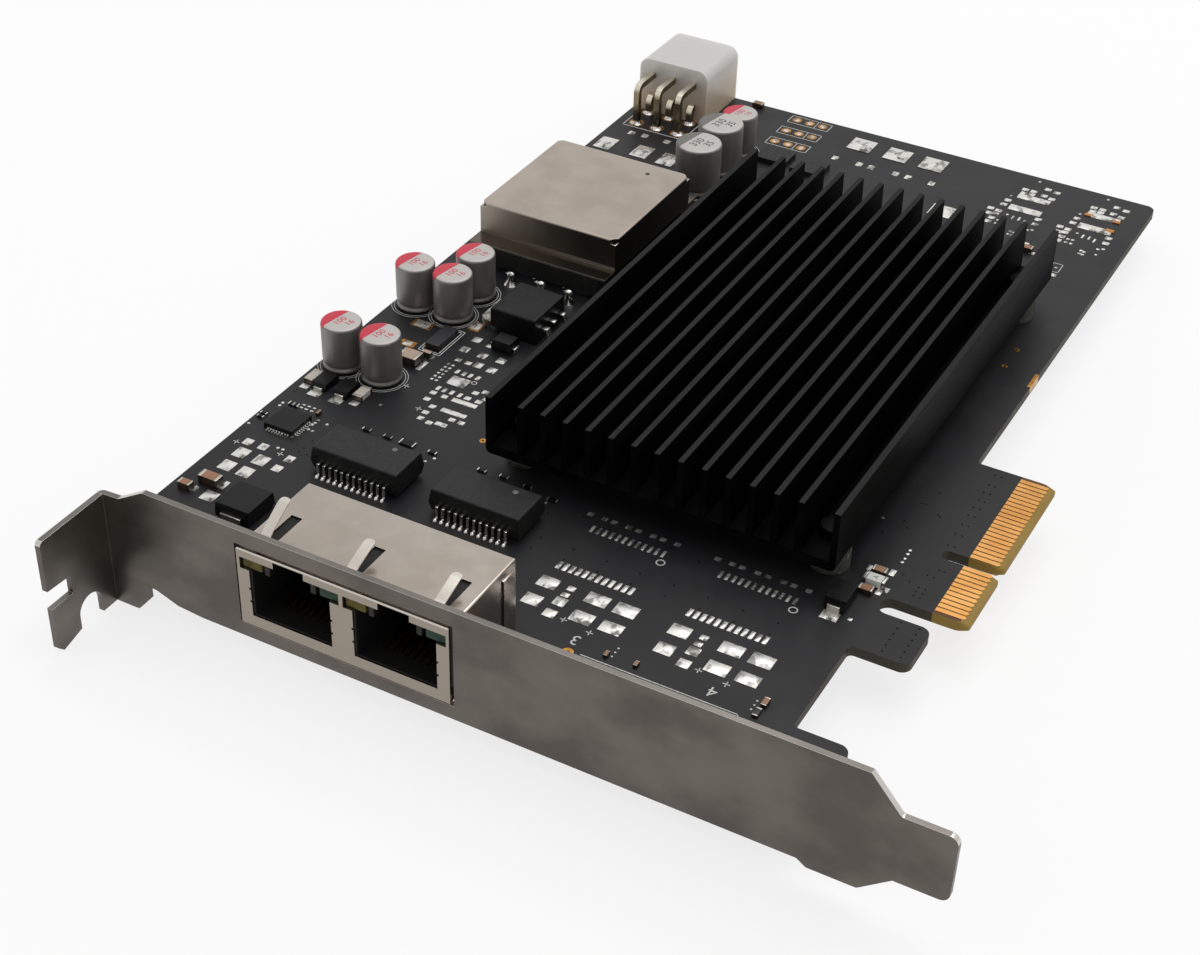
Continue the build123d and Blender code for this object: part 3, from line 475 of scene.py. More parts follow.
rear_pads = [(39.6, 163.9, 4.4, 4.6), (46.7, 163.7, 4.4, 4.6), (53.6, 163.7, 4.4, 4.6),
             (-0.7, 140.2, 3.2, 4.4), (6.5, 140.6, 3.2, 4.4), (11.9, 140.3, 3.2, 4.4),
             (61.6, 148.4, 5.0, 4.0), (1.4, 146.2, 1.2, 1.4), (4.0, 146.4, 1.2, 1.4),
             (8.5, 146.4, 1.2, 1.4)]
rear_pads += [(x, 156.9, 1.1, 1.5) for x in (37.3, 42.0, 44.3, 49.0, 51.4, 55.9)]
rear_pads += [(77.6, 145.3, 1.0, 0.9), (79.5, 142.8, 1.0, 0.9), (85.0, 137.8, 1.0, 0.9)]
right_pads = [(92.1, 50.9, 0.8, 1.4), (92.1, 46.2, 0.8, 1.4), (89.0, 50.4, 0.6, 1.2)]
test_dots = [(92.33, 56.66), (92.33, 55.75), (92.35, 54.6), (92.35, 53.7), (86.2, 61.6), (-1.7, 42.2),
             (-1.7, 41.4), (5.4, 41.1), (5.4, 40.3), (5.3, 39.7), (5.5, 38.5), (6.3, 38.4), (4.5, 35.8),
             (4.45, 32.45), (5.3, 32.45), (25.1, 41.7), (24.35, 40.4), (44.1, 40.7), (11.04, 49.14),
             (72.3, 167.7), (84.9, 167.7), (69.65, 160.1), (82.25, 160.1), (71.4, 153.3), (84.0, 153.3),
             (89.05, 147.9)]
dot_profile = [(0, 0), (0.27, 0), (0.24, 0.05), (0, 0.09)]
mesh = bmesh.new()
for shift in port_groups:
    pads(mesh, [(x + shift, y, width, depth) for x, y, width, depth in port_pads])
for centre in driver_centres:
    pads(mesh, [(centre + dx, y, width, depth) for dx, y, width, depth in driver_pads])
pads(mesh, supply_pads + converter_pads + rear_pads + right_pads)
for x, y in test_dots:
    turned(mesh, dot_profile, x, y, 10)
piece("solder_pads", mesh, tin, "tin", smooth=25)

# Bare copper. The wide lands under the converter's coil and the rear drivers show their copper where
# the tin has drawn back.
copper = Finish("bare_copper", tone(206, 142, 74), 0.34, Metallic=1.0)
copper.worn(0.6, 3, 0.28, 0.44)
land_height = 0.02
end_height = 0.2
copper_lands = [(4.2, 71.2, 3.6, 2.1), (11.8, 74.9, 2.0, 2.6), (5.2, 65.4, 2.6, 1.6)]
copper_ends = [(83.6, 160.4, 1.2, 0.8), (88.7, 160.4, 1.2, 0.8), (88.6, 156.9, 1.4, 0.9)]
mesh = bmesh.new()
for places, height in ((copper_lands, land_height), (copper_ends, end_height)):
    for x, y, width, depth in places:
        slab(mesh, x, y, width, depth, height)
piece("copper_lands", mesh, copper, "gold")

# White print. Epoxy ink, screened on the mask and baked: outlines, polarity signs, rings round the
# cans and plain numbers for the ports. It stops short of the board's edge.
print_height = 0.014
line_width = 0.18
fine_line = 0.14


def stroke(mesh, start, end, width=line_width):
    """Adds a printed line between two places."""
    run = Vector(end) - Vector(start)
    middle = (Vector(end) + Vector(start)) / 2
    turn = Matrix.Rotation(run.to_3d().to_track_quat("X", "Z").to_euler().z, 4, "Z")
    place = Matrix.Translation((*middle, print_height / 2)) @ turn
    size = Matrix.Diagonal((run.length + width, width, print_height, 1))
    bmesh.ops.create_cube(mesh, size=1, matrix=place @ size)


def outline(mesh, x0, x1, y0, y1, width=line_width):
    """Adds a printed box."""
    corners = [(x0, y0), (x1, y0), (x1, y1), (x0, y1)]
    for start, end in zip(corners, corners[1:] + corners[:1]):
        stroke(mesh, start, end, width)


def plus(mesh, x, y, reach=0.45):
    """Adds a printed polarity sign."""
    stroke(mesh, (x - reach, y), (x + reach, y), fine_line)
    stroke(mesh, (x, y - reach), (x, y + reach), fine_line)


def figures(mesh, text, x, y, height, turn=0.0, base=0.0):
    """Adds plain figures, centred at a place."""
    curve = bpy.data.curves.new("figures", "FONT")
    curve.body = text
    curve.size = height * 1.4
    curve.extrude = print_height / 2
    curve.align_x = "CENTER"
    curve.align_y = "CENTER"
    curve.resolution_u = 3
    drawn = bpy.data.objects.new("figures", curve)
    flat = bpy.data.meshes.new_from_object(drawn)
    flat.transform(Matrix.Translation((x, y, base + print_height / 2)) @ Matrix.Rotation(turn, 4, "Z"))
    mesh.from_mesh(flat)
    bpy.data.objects.remove(drawn)
    bpy.data.curves.remove(curve)
    bpy.data.meshes.remove(flat)


def among(found, kind):
    """The points, edges or faces among what an operator gives back."""
    return [item for item in found if isinstance(item, kind)]


def sliced(mesh, place, outward):
    """Cuts off what lies beyond a plane, and closes the cut."""
    bmesh.ops.remove_doubles(mesh, verts=mesh.verts, dist=0.0005)
    cut = bmesh.ops.bisect_plane(mesh, geom=mesh.verts[:] + mesh.edges[:] + mesh.faces[:],
                                 plane_co=place, plane_no=outward, clear_outer=True)
    bmesh.ops.edgenet_fill(mesh, edges=among(cut["geom_cut"], BMEdge))


ink_tone = tone(214, 214, 210)
ink_thin = tone(176, 176, 172)
ink = Finish("white_ink", ink_tone, 0.6)
ink.feed(Base_Color=ink.clouded(0.25, 3, ink_tone, ink_thin, 0.3, 0.65))

small_cans = [(0.1, 55.4), (7.1, 55.4), (0.1, 75.8), (6.9, 76.0), (6.7, 83.2), (21.2, 149.8)]
large_cans = [(20.9, 133.8), (20.9, 142.5)]
header_low, header_high = bounds_of("power_header_housing")
pins_low, pins_high = bounds_of("power_header_pins")
print_margin = 0.1
small_rings = (3.5, 3.9)
large_rings = (4.35, 4.75)
ring_line = 0.09
mesh = bmesh.new()
for x, y in small_cans:
    for inner in small_rings:
        ring(mesh, x, y, inner, inner + ring_line, print_height, 40)
sliced(mesh, (board_low.x + print_margin, 0, 0), (-1, 0, 0))
for group, shift in enumerate(port_groups):
    ring(mesh, 64.1 + shift, 36.95, 0.5, 0.66, print_height)
    plus(mesh, 58.7 + shift, 20.0)
    plus(mesh, 62.9 + shift, 19.4)
    figures(mesh, str(3 + group), 62.0 + shift, 17.3, 1.9, pi)
    for i in range(3):
        disc(mesh, 67.6 + shift, 18.6 - 0.9 * i, 0.16, print_height, steps=8)
for x, y in large_cans:
    for inner in large_rings:
        ring(mesh, x, y, inner, inner + ring_line, print_height, 40)
for gap in (0, 0.4):
    outline(mesh, 7.85 - gap, 10.85 + gap, 65.25 - gap, 72.15 + gap, fine_line)
for x, y in ((-1.6, 30.7), (5.6, 31.4), (11.5, 55.3), (16.3, 51.2), (11.2, 75.9), (10.9, 82.6)):
    plus(mesh, x, y)
stroke(mesh, (64.0, 15.1), (86.3, 15.1), 0.16)
stroke(mesh, (86.3, 15.1), (86.3, 14.2), 0.16)
outline(mesh, pins_low.x - 1.4, pins_high.x + 1.4, pins_low.y - 1.2, header_low.y - 0.1)
test_xs = (25.2, 27.8, 30.4)
test_ys = (157.1, 162.0, 166.9)
test_margin = 1.4
test_split = 29.1
for y in test_ys:
    front, rear = y - test_margin, y + test_margin
    outline(mesh, test_xs[0] - test_margin, test_xs[-1] + test_margin, front, rear, fine_line)
    stroke(mesh, (test_split, front), (test_split, rear), fine_line)
outline(mesh, 83.8, 85.4, 138.8, 141.7, fine_line)
for x, y, radius in ((-2.9, 35.4, 0.24), (7.1, 40.9, 0.24), (84.6, 140.3, 0.25), (11.0, 49.1, 0.25)):
    disc(mesh, x, y, radius, print_height, steps=12)
ring(mesh, 19.8, 61.2, 0.32, 0.46, print_height)
arrow_x = 93.0
arrow_y = 47.4
arrow_line = 0.2
for step in range(5):
    reach = 0.5 - 0.1 * step
    level = arrow_y - arrow_line * step
    stroke(mesh, (arrow_x - reach, level), (arrow_x + reach * 0.2, level), arrow_line)
piece("white_print", mesh, ink, "white_chip")

# Bracket. Pressed steel, folded once for the tab and twice for the ears, tumbled and nickel plated.
# Handling has left it dull and cloudy. Its upper faces and rounded upper edges are painted lighter, as a
# highlight.
nickel_tone = tone(110, 104, 98)
nickel_dark = tone(91, 85, 80)
nickel_highlight = tone(240, 235, 228)
nickel = Finish("dull_nickel", nickel_tone, 0.36, Metallic=1.0)
plating = nickel.clouded(9, 5, nickel_tone, nickel_dark, 0.35, 0.68, (1.4, 1, 1))
# Painted highlight: up-facing faces a little lighter, their rounded edges much lighter.
upper = nickel.facing("Z") > 0.2
painted_edge_highlight = upper * (nickel.facing("Z") < 0.985) * 0.85 + upper * 0.15
nickel.feed(Base_Color=nickel.blend(painted_edge_highlight * 0.8, plating, nickel_highlight))
nickel.worn(5, 5, 0.3, 0.42)
nickel.grain(0.25, 3, 0.006)
eased("bracket", "bracket_plate", 0.2, nickel, "nickel", 3)

# Bracket screws. Steel pan heads with a cross recess, headed cold and zinc plated. They hold the
# board on the bracket's ears.
zinc = Finish("zinc_plate", tone(196, 196, 194), 0.3, Metallic=1.0)
zinc.worn(0.6, 3, 0.2, 0.42)
eased("bracket_screws", "pan_head_screws", 0.1, zinc, "screw")

# Jack shield. Thin tinned brass, folded over both ports, with its spring fingers cut and raised
# from the top. It bears on the bracket's window.
shield_front_shade = tone(152, 142, 131)
shield_finger_highlight = tone(226, 219, 209)
shield_tone = tone(196, 186, 176)
shield_dark = tone(188, 177, 166)
shield = Finish("satin_shield", shield_tone, 0.24, Metallic=1.0)
# The raised spring fingers are painted lighter, as a highlight, and the faces that look forward darker,
# as shade. The clouds are the plating's own.
finger_highlight_mask = (shield.facing("Y") < -0.06) * (shield.facing("Z") > 0.3)
body = shield.clouded(9, 3, shield_tone, shield_dark)
body = shield.blend(shield.facing("Y") < -0.7, body, shield_front_shade)
shield.feed(Base_Color=shield.blend(finger_highlight_mask, body, shield_finger_highlight))
shield.worn(3, 3, 0.21, 0.28)
eased("jack_shield", "folded_jack_shield", 0.05, shield, "shield")

# Jack insert. Black glass-filled plastic, moulded with both cavities, their latch channels and the
# light pockets.
plastic = Finish("black_insert", tone(25, 25, 24), 0.5, Specular_IOR_Level=0.25)
plastic.worn(0.4, 3, 0.42, 0.6)
plastic.grain(0.12, 2, 0.01)
mesh = merged("jack_housing", dissolve=False)
eased("jack_housing", "moulded_jack_insert", 0.08, plastic, "jack_plastic", 1, mesh)

# Jack lights. Light guides of tinted resin, cast in the upper corners of each port. While they are
# off they look olive yellow on one side and dark green on the other.


def resin(name, colour, deep):
    """Tinted resin, a little cloudy."""
    finish = Finish(name, colour, 0.4, Specular_IOR_Level=0.2)
    finish.feed(Base_Color=finish.clouded(1.2, 3, colour, deep, 0.3, 0.7))
    return finish


yellow_resin = resin("yellow_resin", tone(92, 80, 18), tone(64, 56, 12))
green_resin = resin("green_resin", tone(30, 62, 44), tone(20, 42, 32))
eased("jack_lights_yellow", "yellow_light_guides", 0.25, yellow_resin, "light_yellow")
eased("jack_lights_green", "green_light_guides", 0.25, green_resin, "light_green")

# Jack wires. Sprung bronze, formed and gold plated, eight to a port. They rise from its floor, and
# their gold is painted dark brown, as the shade of the port.
wire = Finish("shaded_gold", tone(58, 43, 24), 0.4, Metallic=1.0)
wire.worn(0.6, 2, 0.34, 0.5)
wire_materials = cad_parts["jack_wires"].data.materials
wire_materials.clear()
wire_materials.append(wire.material)

# Heatsink. Extruded aluminium, sawn to length, then anodised black. The extrusion leaves fine
# lines along the fins, and the black is faintly worn in patches. The fin tops, most of all their
# rounded edges, are painted lighter, as a highlight.
anodised_tone = tone(5, 5, 5)
anodised_wear_and_highlight = tone(54, 54, 55)
anodised = Finish("black_anodising", anodised_tone, 0.45, Specular_IOR_Level=0.035)
lines = anodised.noise(0.12, 3, (1, 60, 1))
worn = anodised.ramp(anodised.noise(5, 4, (1, 4, 1)), 0.4, 0.7)
# Painted highlight on the fin tops and their rounded edges, added to faint worn patches.
fin_top_highlight = (anodised.facing("Z") > 0.5) * (anodised.along("Z") > heatsink_high.z - 1)
fin_edge_highlight = fin_top_highlight * (anodised.facing("Z") < 0.96)
wear_and_highlight = worn * 0.06 + fin_top_highlight * 0.62 + fin_edge_highlight * 0.32
anodised.feed(Base_Color=anodised.blend(wear_and_highlight, anodised_tone, anodised_wear_and_highlight),
              Roughness=anodised.ramp(lines, 0.3, 0.7, 0.42, 0.54))
anodised.bump(lines, 0.008)
eased("heatsink", "finned_heatsink", 0.1, anodised, "heatsink")

# Push pins and spacers. Nylon, moulded: the black pins snap through the base and the board, and the
# clear spacers take up the height of the chip.
nylon = Finish("natural_nylon", tone(126, 126, 118), 0.15, Transmission_Weight=0.7, IOR=1.45)
nylon.worn(2.0, 2, 0.12, 0.18)
black_nylon = Finish("black_nylon", tone(7, 7, 7), 0.45, Specular_IOR_Level=0.12)
black_nylon.worn(2.0, 2, 0.34, 0.46)
eased("heatsink_push_pins", "push_pins", 0.25, black_nylon, "nylon")
eased("heatsink_spacers", "spacer_rings", 0.15, nylon, "nylon")

# Controller. A laminate substrate with a nickel lid, under a soft grey pad that fills the gap to the
# heatsink's base.
laminate = Finish("green_substrate", tone(40, 62, 44), 0.45)
laminate.grain(0.3, 2, 0.01)
eased("controller_substrate", "chip_substrate", 0.05, laminate, "substrate")
lid = Finish("sandblasted_lid", tone(150, 148, 144), 0.42, Metallic=1.0)
lid.grain(0.15, 2, 0.01)
eased("controller_lid", "chip_lid", 0.06, lid, "lid")
pad = Finish("soft_gap_pad", tone(128, 130, 132), 0.85)
pad.grain(0.2, 3, 0.03)
eased("controller_pad", "gap_pad", 0.1, pad, "thermal_pad")

# Moulded black parts. Transfer-moulded epoxy around the line transformers, the transistor, the
# diodes and the small chips, matt and finely pitted.
epoxy_tone = tone(22, 22, 22)
epoxy_light = tone(29, 29, 28)
epoxy = Finish("moulded_epoxy", epoxy_tone, 0.48, Specular_IOR_Level=0.35)
epoxy.feed(Base_Color=epoxy.clouded(1.5, 4, epoxy_tone, epoxy_light))
epoxy.worn(0.5, 3, 0.4, 0.58)
epoxy.grain(0.12, 3, 0.008)
eased("line_transformer_bodies", "line_transformers", 0.1, epoxy, "epoxy")
satin_epoxy = Finish("satin_epoxy", tone(9, 9, 9), 0.4, Specular_IOR_Level=0.26)
satin_epoxy.worn(1.2, 3, 0.34, 0.46)
satin_epoxy.grain(0.2, 2, 0.004)
eased("switch_body", "transistor_body", 0.12, satin_epoxy, "epoxy")
eased("diode_bodies", "moulded_diodes", 0.08, satin_epoxy, "epoxy")
glaze_tone = tone(40, 41, 44)
cream_tone = tone(196, 186, 176)
glaze = Finish("glazed_chips", glaze_tone, 0.45)
cream = (glaze.along("Y") < 52) * (glaze.along("X") < 20)
glaze.feed(Base_Color=glaze.blend(cream, glaze_tone, cream_tone))
glaze.grain(0.2, 2, 0.006)
eased("chip_resistors", "small_chips", 0.05, glaze, "epoxy")
eased("supply_controller", "square_supply_chip", 0.05, satin_epoxy, "epoxy")
eased("driver_chips", "driver_packages", 0.06, epoxy, "epoxy")

module_top = bounds_of("line_transformer_bodies")[1].z
module_xs = (18.8, 38.5)
mark_radius = 0.42
mark_grey = Finish("grey_mark", tone(104, 103, 101), 0.6)
dimple_dark = Finish("dark_dimple", tone(20, 20, 20), 0.35)
mesh = bmesh.new()
for x in module_xs:
    disc(mesh, x + 3.45, 36.05, mark_radius, module_top + 0.01, module_top - 0.05)
piece("pin_one_marks", mesh, mark_grey, "epoxy")
mesh = bmesh.new()
for x in module_xs:
    ring(mesh, x + 5.6, 36.25, mark_radius, 0.62, 0.02)
bmesh.ops.translate(mesh, verts=mesh.verts, vec=(0, 0, module_top - 0.005))
piece("mould_dimples", mesh, dimple_dark, "epoxy")

# Leads and their solder. Copper alloy, tinned and formed. Reflowed solder stands in a rounded
# fillet at each foot.
solder_tone = tone(232, 230, 225)
solder_dark = tone(150, 148, 144)
solder = Finish("reflowed_solder", solder_tone, 0.2, Metallic=1.0)
solder.feed(Base_Color=solder.clouded(1.4, 2, solder_tone, solder_dark, 0.5, 0.7))
solder.worn(1.0, 2, 0.16, 0.28)
eased("line_transformer_leads", "line_transformer_lead_frames", 0.04, solder, "tin")


def bead(mesh, x, y, width, depth, height, level=0.0):
    """Adds a rounded drop of solder, cut flat where it would reach into the board."""
    drop = bmesh.ops.create_uvsphere(mesh, u_segments=10, v_segments=6, radius=0.5)
    bmesh.ops.scale(mesh, verts=drop["verts"], vec=(width, depth, height * 2))
    bmesh.ops.translate(mesh, verts=drop["verts"], vec=(x, y, level))
    for vert in drop["verts"]:
        vert.co.z = max(vert.co.z, 0)


leads_low, leads_high = bounds_of("line_transformer_leads")
lead_count = 12
lead_bead = (0.6, 1.3, 0.34)
mesh = bmesh.new()
for module_x in module_xs:
    for i in range(lead_count):
        x = module_x + i - (lead_count - 1) / 2
        bead(mesh, x, leads_low.y + 0.35, *lead_bead)
        bead(mesh, x, leads_high.y - 0.35, *lead_bead)
piece("lead_solder", mesh, solder, "tin", smooth=70)

# Supply transformer. A ferrite core on a black former, under a folded shield of tinned steel, with
# ten square pins soldered to the board.
can_steel_tone = tone(201, 189, 177)
can_steel_dark = tone(190, 178, 166)
can_flange_top = 5.0
can_steel = Finish("tinned_can", can_steel_tone, 0.2, Metallic=1.0)
# The sides are painted light and shade: lighter on the left and darker to the right, with the lower front
# faces an even middle tone. The flange top is painted darker, as the can's shadow.
can_sides = 1 - can_steel.ramp(can_steel.facing("Z"), 0.3, 0.9)
can_top = can_steel.clouded(6, 3, can_steel_tone, can_steel_dark)
can_side_light_falloff = can_steel.ramp(can_steel.along("X"), -3, 22)
can_shade = can_steel.blend(can_side_light_falloff, tone(168, 158, 146), tone(68, 63, 58))
can_foot_painted_light = (can_steel.along("Z") < can_flange_top) * (can_steel.facing("Y") < -0.5)
can_shade = can_steel.blend(can_foot_painted_light, can_shade, tone(150, 143, 134))
can_flange = (can_steel.along("Z") < can_flange_top) * (can_steel.facing("Z") > 0.9)
can_top = can_steel.blend(can_flange, can_top, tone(122, 113, 103))
can_steel.feed(Base_Color=can_steel.blend(can_sides, can_top, can_shade),
               Roughness=can_steel.wander(4, 3, 0.17, 0.24) + can_sides * 0.26)
eased("supply_transformer_shield", "supply_transformer_can", 0.06, can_steel, "shield")
can_level = bounds_of("supply_transformer_shield")[1].z
dot_dark = Finish("dark_pin_dot", tone(58, 52, 47), 0.6)
mesh = bmesh.new()
disc(mesh, 19.56, 117.05, mark_radius, can_level + 0.012, can_level - 0.02)
piece("pin_one_dot", mesh, dot_dark, "shield")
former = Finish("black_former", tone(24, 23, 22), 0.45)
former.grain(0.3, 3, 0.01)
eased("supply_transformer_bobbin", "transformer_former", 0.12, former, "bobbin")
ferrite = Finish("sintered_ferrite", tone(58, 57, 58), 0.6)
ferrite.grain(0.3, 3, 0.02)
eased("supply_transformer_core", "ferrite_core", 0.2, ferrite, "ferrite")
eased("supply_transformer_pins", "transformer_pins", 0.05, solder, "tin")
transformer_low, transformer_high = bounds_of("supply_transformer_pins")


def joint(mesh, x, y, foot, shank, height):
    """Adds a cone of solder with hollow sides, from its foot to the shank of a pin."""
    profile = [(foot, 0)]
    for share in (0.3, 0.6, 1.0):
        profile.append((shank + (foot - shank) * (1 - share) ** 2, height * share))
    turned(mesh, [(0, 0)] + profile + [(0, height)], x, y, 14)


pin_count = 5
pin_margin = 0.45
pin_joint = (1.25, 0.35, 0.9)
pin_step = (transformer_high.x - transformer_low.x - 2 * pin_margin) / (pin_count - 1)
mesh = bmesh.new()
for i in range(pin_count):
    for y in (transformer_low.y + 0.2, transformer_high.y - 0.2):
        joint(mesh, transformer_low.x + pin_margin + i * pin_step, y, *pin_joint)
post_xs = (9.8, 15.4, 20.5)
post_y = 88.9
post_joint = (1.2, 0.5, 1.7)
post_bead = (1.5, 1.3, 0.55, 1.75)
for x in post_xs:
    joint(mesh, x, post_y, *post_joint)
    bead(mesh, x, post_y, *post_bead)
piece("transformer_solder", mesh, solder, "tin", smooth=60)

# Polymer capacitors. Drawn aluminium cans, crimped on a rubber bung. The crown is painted silver,
# with a coloured field over the negative lead.
crown_round = 0.5
crown_lift = 0.012


def crown_edge(radius, height):
    """The rounded edge of a crown, as (radius, height) points from its side to its top."""
    turns = [i * pi / 10 for i in range(6)]
    side, top = radius - crown_round, height - crown_round
    return [(side + crown_round * cos(turn), top + crown_round * sin(turn)) for turn in turns]


def can_shell(mesh, x, y, radius, height):
    """Adds a drawn can: its rolled foot, the waist over it, the straight side and the crown."""
    foot = [(0, 0.12), (radius - 0.3, 0.12), (radius - 0.08, 0.22), (radius, 0.42), (radius - 0.06, 0.62),
            (radius - 0.3, 0.82), (radius - 0.32, 0.98), (radius - 0.12, 1.25), (radius - 0.02, 1.7)]
    turned(mesh, foot + crown_edge(radius, height) + [(0, height)], x, y, 40)


def can_field(mesh, x, y, radius, height, start, turn):
    """Adds the painted field of a crown, which runs over its edge and ends in a straight line."""
    edge = crown_edge(radius + crown_lift, height + crown_lift)
    side, hem = edge[0][0], edge[0][1] - 0.1
    field = bmesh.new()
    turned(field, [(0, hem), (side, hem)] + edge + [(0, edge[-1][1])], 0, 0, 40)
    sliced(field, (0, start, 0), (0, -1, 0))
    bmesh.ops.rotate(field, verts=field.verts, cent=(0, 0, 0), matrix=Matrix.Rotation(turn, 3, "Z"))
    bmesh.ops.translate(field, verts=field.verts, vec=(x, y, 0))
    held = bpy.data.meshes.new("held")
    field.to_mesh(held)
    field.free()
    mesh.from_mesh(held)
    bpy.data.meshes.remove(held)


can_tone = tone(136, 134, 131)
can_dark = tone(122, 120, 117)
crown_tone = tone(190, 185, 181)
aluminium = Finish("drawn_aluminium", can_tone, 0.45)
top = aluminium.facing("Z") > 0.7
sleeve = aluminium.clouded(2, 3, can_tone, can_dark, 0.3, 0.7, (1, 1, 4))
aluminium.feed(Base_Color=aluminium.blend(top, sleeve, crown_tone), Metallic=0.6 - top * 0.35)
rubber = Finish("black_rubber", tone(28, 27, 27), 0.7)
rubber.grain(0.3, 3, 0.02)
crimson = Finish("crimson_paint", tone(196, 44, 66), 0.45)
crimson.worn(0.5, 2, 0.34, 0.5)
slate = Finish("dark_paint", tone(108, 106, 102), 0.45)
slate.worn(0.5, 2, 0.4, 0.55)
figure_ink = Finish("dark_figures", tone(60, 58, 58), 0.5)

# Each kind's places, radius, field with its finish and where it starts, and figures with their
# finish, places and heights.
can_kinds = [
    ("small", small_cans, 3.15, "crimson_fields", crimson, 0.95,
     crimson, [("100", -0.05, -0.2, 1.15), ("16", 1.45, 0.1, 1.1)]),
    ("large", large_cans, 4.0, "dark_fields", slate, 1.6,
     figure_ink, [("330", -0.2, -0.3, 1.5), ("35", 1.8, 0.2, 1.4)]),
]
field_turn = radians(80)
bungs = bmesh.new()
for kind, places, radius, field_name, paint, start, figure_finish, lines in can_kinds:
    height = bounds_of(kind + "_capacitor_cans")[1].z
    shells = bmesh.new()
    fields = bmesh.new()
    numbers = bmesh.new()
    for x, y in places:
        can_shell(shells, x, y, radius, height)
        can_field(fields, x, y, radius, height, start, field_turn)
        for text, right, rear, size in lines:
            figures(numbers, text, x + right, y + rear, size, field_turn, height)
        turned(bungs, [(0, 0), (radius - 0.4, 0), (radius - 0.35, 0.2), (0, 0.2)], x, y, 32)
    piece(kind + "_cans", shells, aluminium, kind + "_can", [kind + "_capacitor_cans"], 50)
    piece(field_name, fields, paint, kind + "_can")
    piece(kind + "_can_figures", numbers, figure_finish, kind + "_can")
piece("rubber_bungs", bungs, rubber, "epoxy")

# Power header. Milky nylon, moulded with six cells that open over the board's rear edge. Square
# tinned pins bend down behind it and pass through the board.
header_nylon = Finish("milky_nylon", tone(212, 209, 204), 0.4, Subsurface_Weight=0.35,
                      Subsurface_Scale=0.004, Subsurface_Radius=(1.0, 0.9, 0.8))
# Towards the board the nylon is painted darker and warmer, as shade.
lower_painted_shade = header_nylon.ramp(header_nylon.along("Z"), 2.5, 10)
header_nylon.feed(Base_Color=header_nylon.blend(lower_painted_shade, tone(190, 172, 150), tone(198, 196, 192)))
header_nylon.worn(1.2, 3, 0.32, 0.46)
touching = 0.01
header_round = 1.0


def outer_edge(edge):
    """Whether an edge of the housing lies on its outside, at its front face or along its length."""
    points = [vert.co for vert in edge.verts]
    ends = [min(point.x - header_low.x, header_high.x - point.x) < touching for point in points]
    tops = [header_high.z - point.z < touching for point in points]
    front = min(point.y for point in points) < header_low.y + touching
    lengthwise = abs(points[0].y - points[1].y) > 1
    return all(end or top for end, top in zip(ends, tops)) and (lengthwise or front)


mesh = merged("power_header_housing")
rounded(mesh, [e for e in sharp_edges(mesh) if outer_edge(e)], header_round, 5)
eased("power_header_housing", "six_way_header", 0.2, header_nylon, "header_nylon", 2, mesh)

pin_side = 1.07
bend_radius = 1.25
header_columns = (0.2, 4.4, 8.6)
header_rows = ((3.0, 155.215), (7.2, 150.315))
front = pins_high.y
mesh = bmesh.new()
for x in header_columns:
    for level, foot in header_rows:
        upright = Matrix.Translation((x, front, level)) @ Matrix.Rotation(pi / 2, 4, "X")
        face = bmesh.ops.create_grid(mesh, x_segments=1, y_segments=1, size=pin_side / 2, matrix=upright)
        section = face["verts"][0].link_faces[0]
        reach = bmesh.ops.extrude_face_region(mesh, geom=[section])
        moved = among(reach["geom"], BMVert)
        end = among(reach["geom"], BMFace)
        bmesh.ops.translate(mesh, verts=moved, vec=(0, foot + bend_radius - front, 0))
        turn = bmesh.ops.spin(mesh, geom=end, cent=(x, foot + bend_radius, level - bend_radius),
                              axis=(1, 0, 0), angle=pi / 2, steps=8, use_merge=False)
        last = among(turn["geom_last"], BMFace)
        low = among(bmesh.ops.extrude_face_region(mesh, geom=last)["geom"], BMVert)
        bmesh.ops.delete(mesh, geom=last, context="FACES")
        bmesh.ops.translate(mesh, verts=low, vec=(0, 0, pins_low.z - (level - bend_radius)))
pin_tin = Finish("warm_tin", tone(232, 224, 204), 0.2, Metallic=1.0)
# Upward faces are painted bright, as a highlight, and the upright shanks dark, as shade.
pin_top_highlight = pin_tin.ramp(pin_tin.facing("Z"), 0.1, 0.6)
pin_tin.feed(Base_Color=pin_tin.blend(pin_top_highlight, tone(132, 120, 98), tone(236, 228, 208)))
pin_tin.worn(1.6, 2, 0.16, 0.26)
piece("header_pins", mesh, pin_tin, "tin", ["power_header_pins"], 50)

header_feet = [(x, foot) for x in header_columns for level, foot in header_rows]
header_joint = (1.2, 0.7, 0.5)
header_ring = (0.9, 1.4, 0.04)
test_places = [(x, y) for x in test_xs for y in test_ys]
test_ring = (0.5, 0.9, 0.04)
plug_profile = [(0, 0), (0.55, 0), (0.5, 0.05), (0.25, 0.09), (0, 0.1)]
mesh = bmesh.new()
collars = bmesh.new()
for x, y in header_feet:
    ring(mesh, x, y, *header_ring)
    joint(collars, x, y, *header_joint)
for x, y in test_places:
    ring(mesh, x, y, *test_ring)
piece("gold_rings", mesh, gold, "gold")
piece("header_solder", collars, solder, "tin", smooth=60)
mesh = bmesh.new()
for x, y in test_places:
    turned(mesh, plug_profile, x, y, 12)
piece("test_hole_solder", mesh, solder, "tin")

# Transistor and diodes. Their tabs and terminals are copper strip, punched, formed and tinned, then
# soldered flat to the board.
eased("switch_tab", "transistor_tab", 0.08, tin, "tin")
eased("switch_leads", "transistor_leads", 0.08, solder, "tin")
strip_tin = Finish("formed_tin", tone(206, 202, 194), 0.34, Metallic=1.0)
# Tops are painted lighter than the sides, as light from above.
strip_top_highlight = strip_tin.ramp(strip_tin.facing("Z"), 0.2, 0.8)
strip_tin.feed(Base_Color=strip_tin.blend(strip_top_highlight, tone(168, 164, 155), tone(222, 219, 212)))
strip_tin.worn(1.2, 2, 0.28, 0.4)
eased("diode_terminals", "diode_strips", 0.05, strip_tin, "tin")

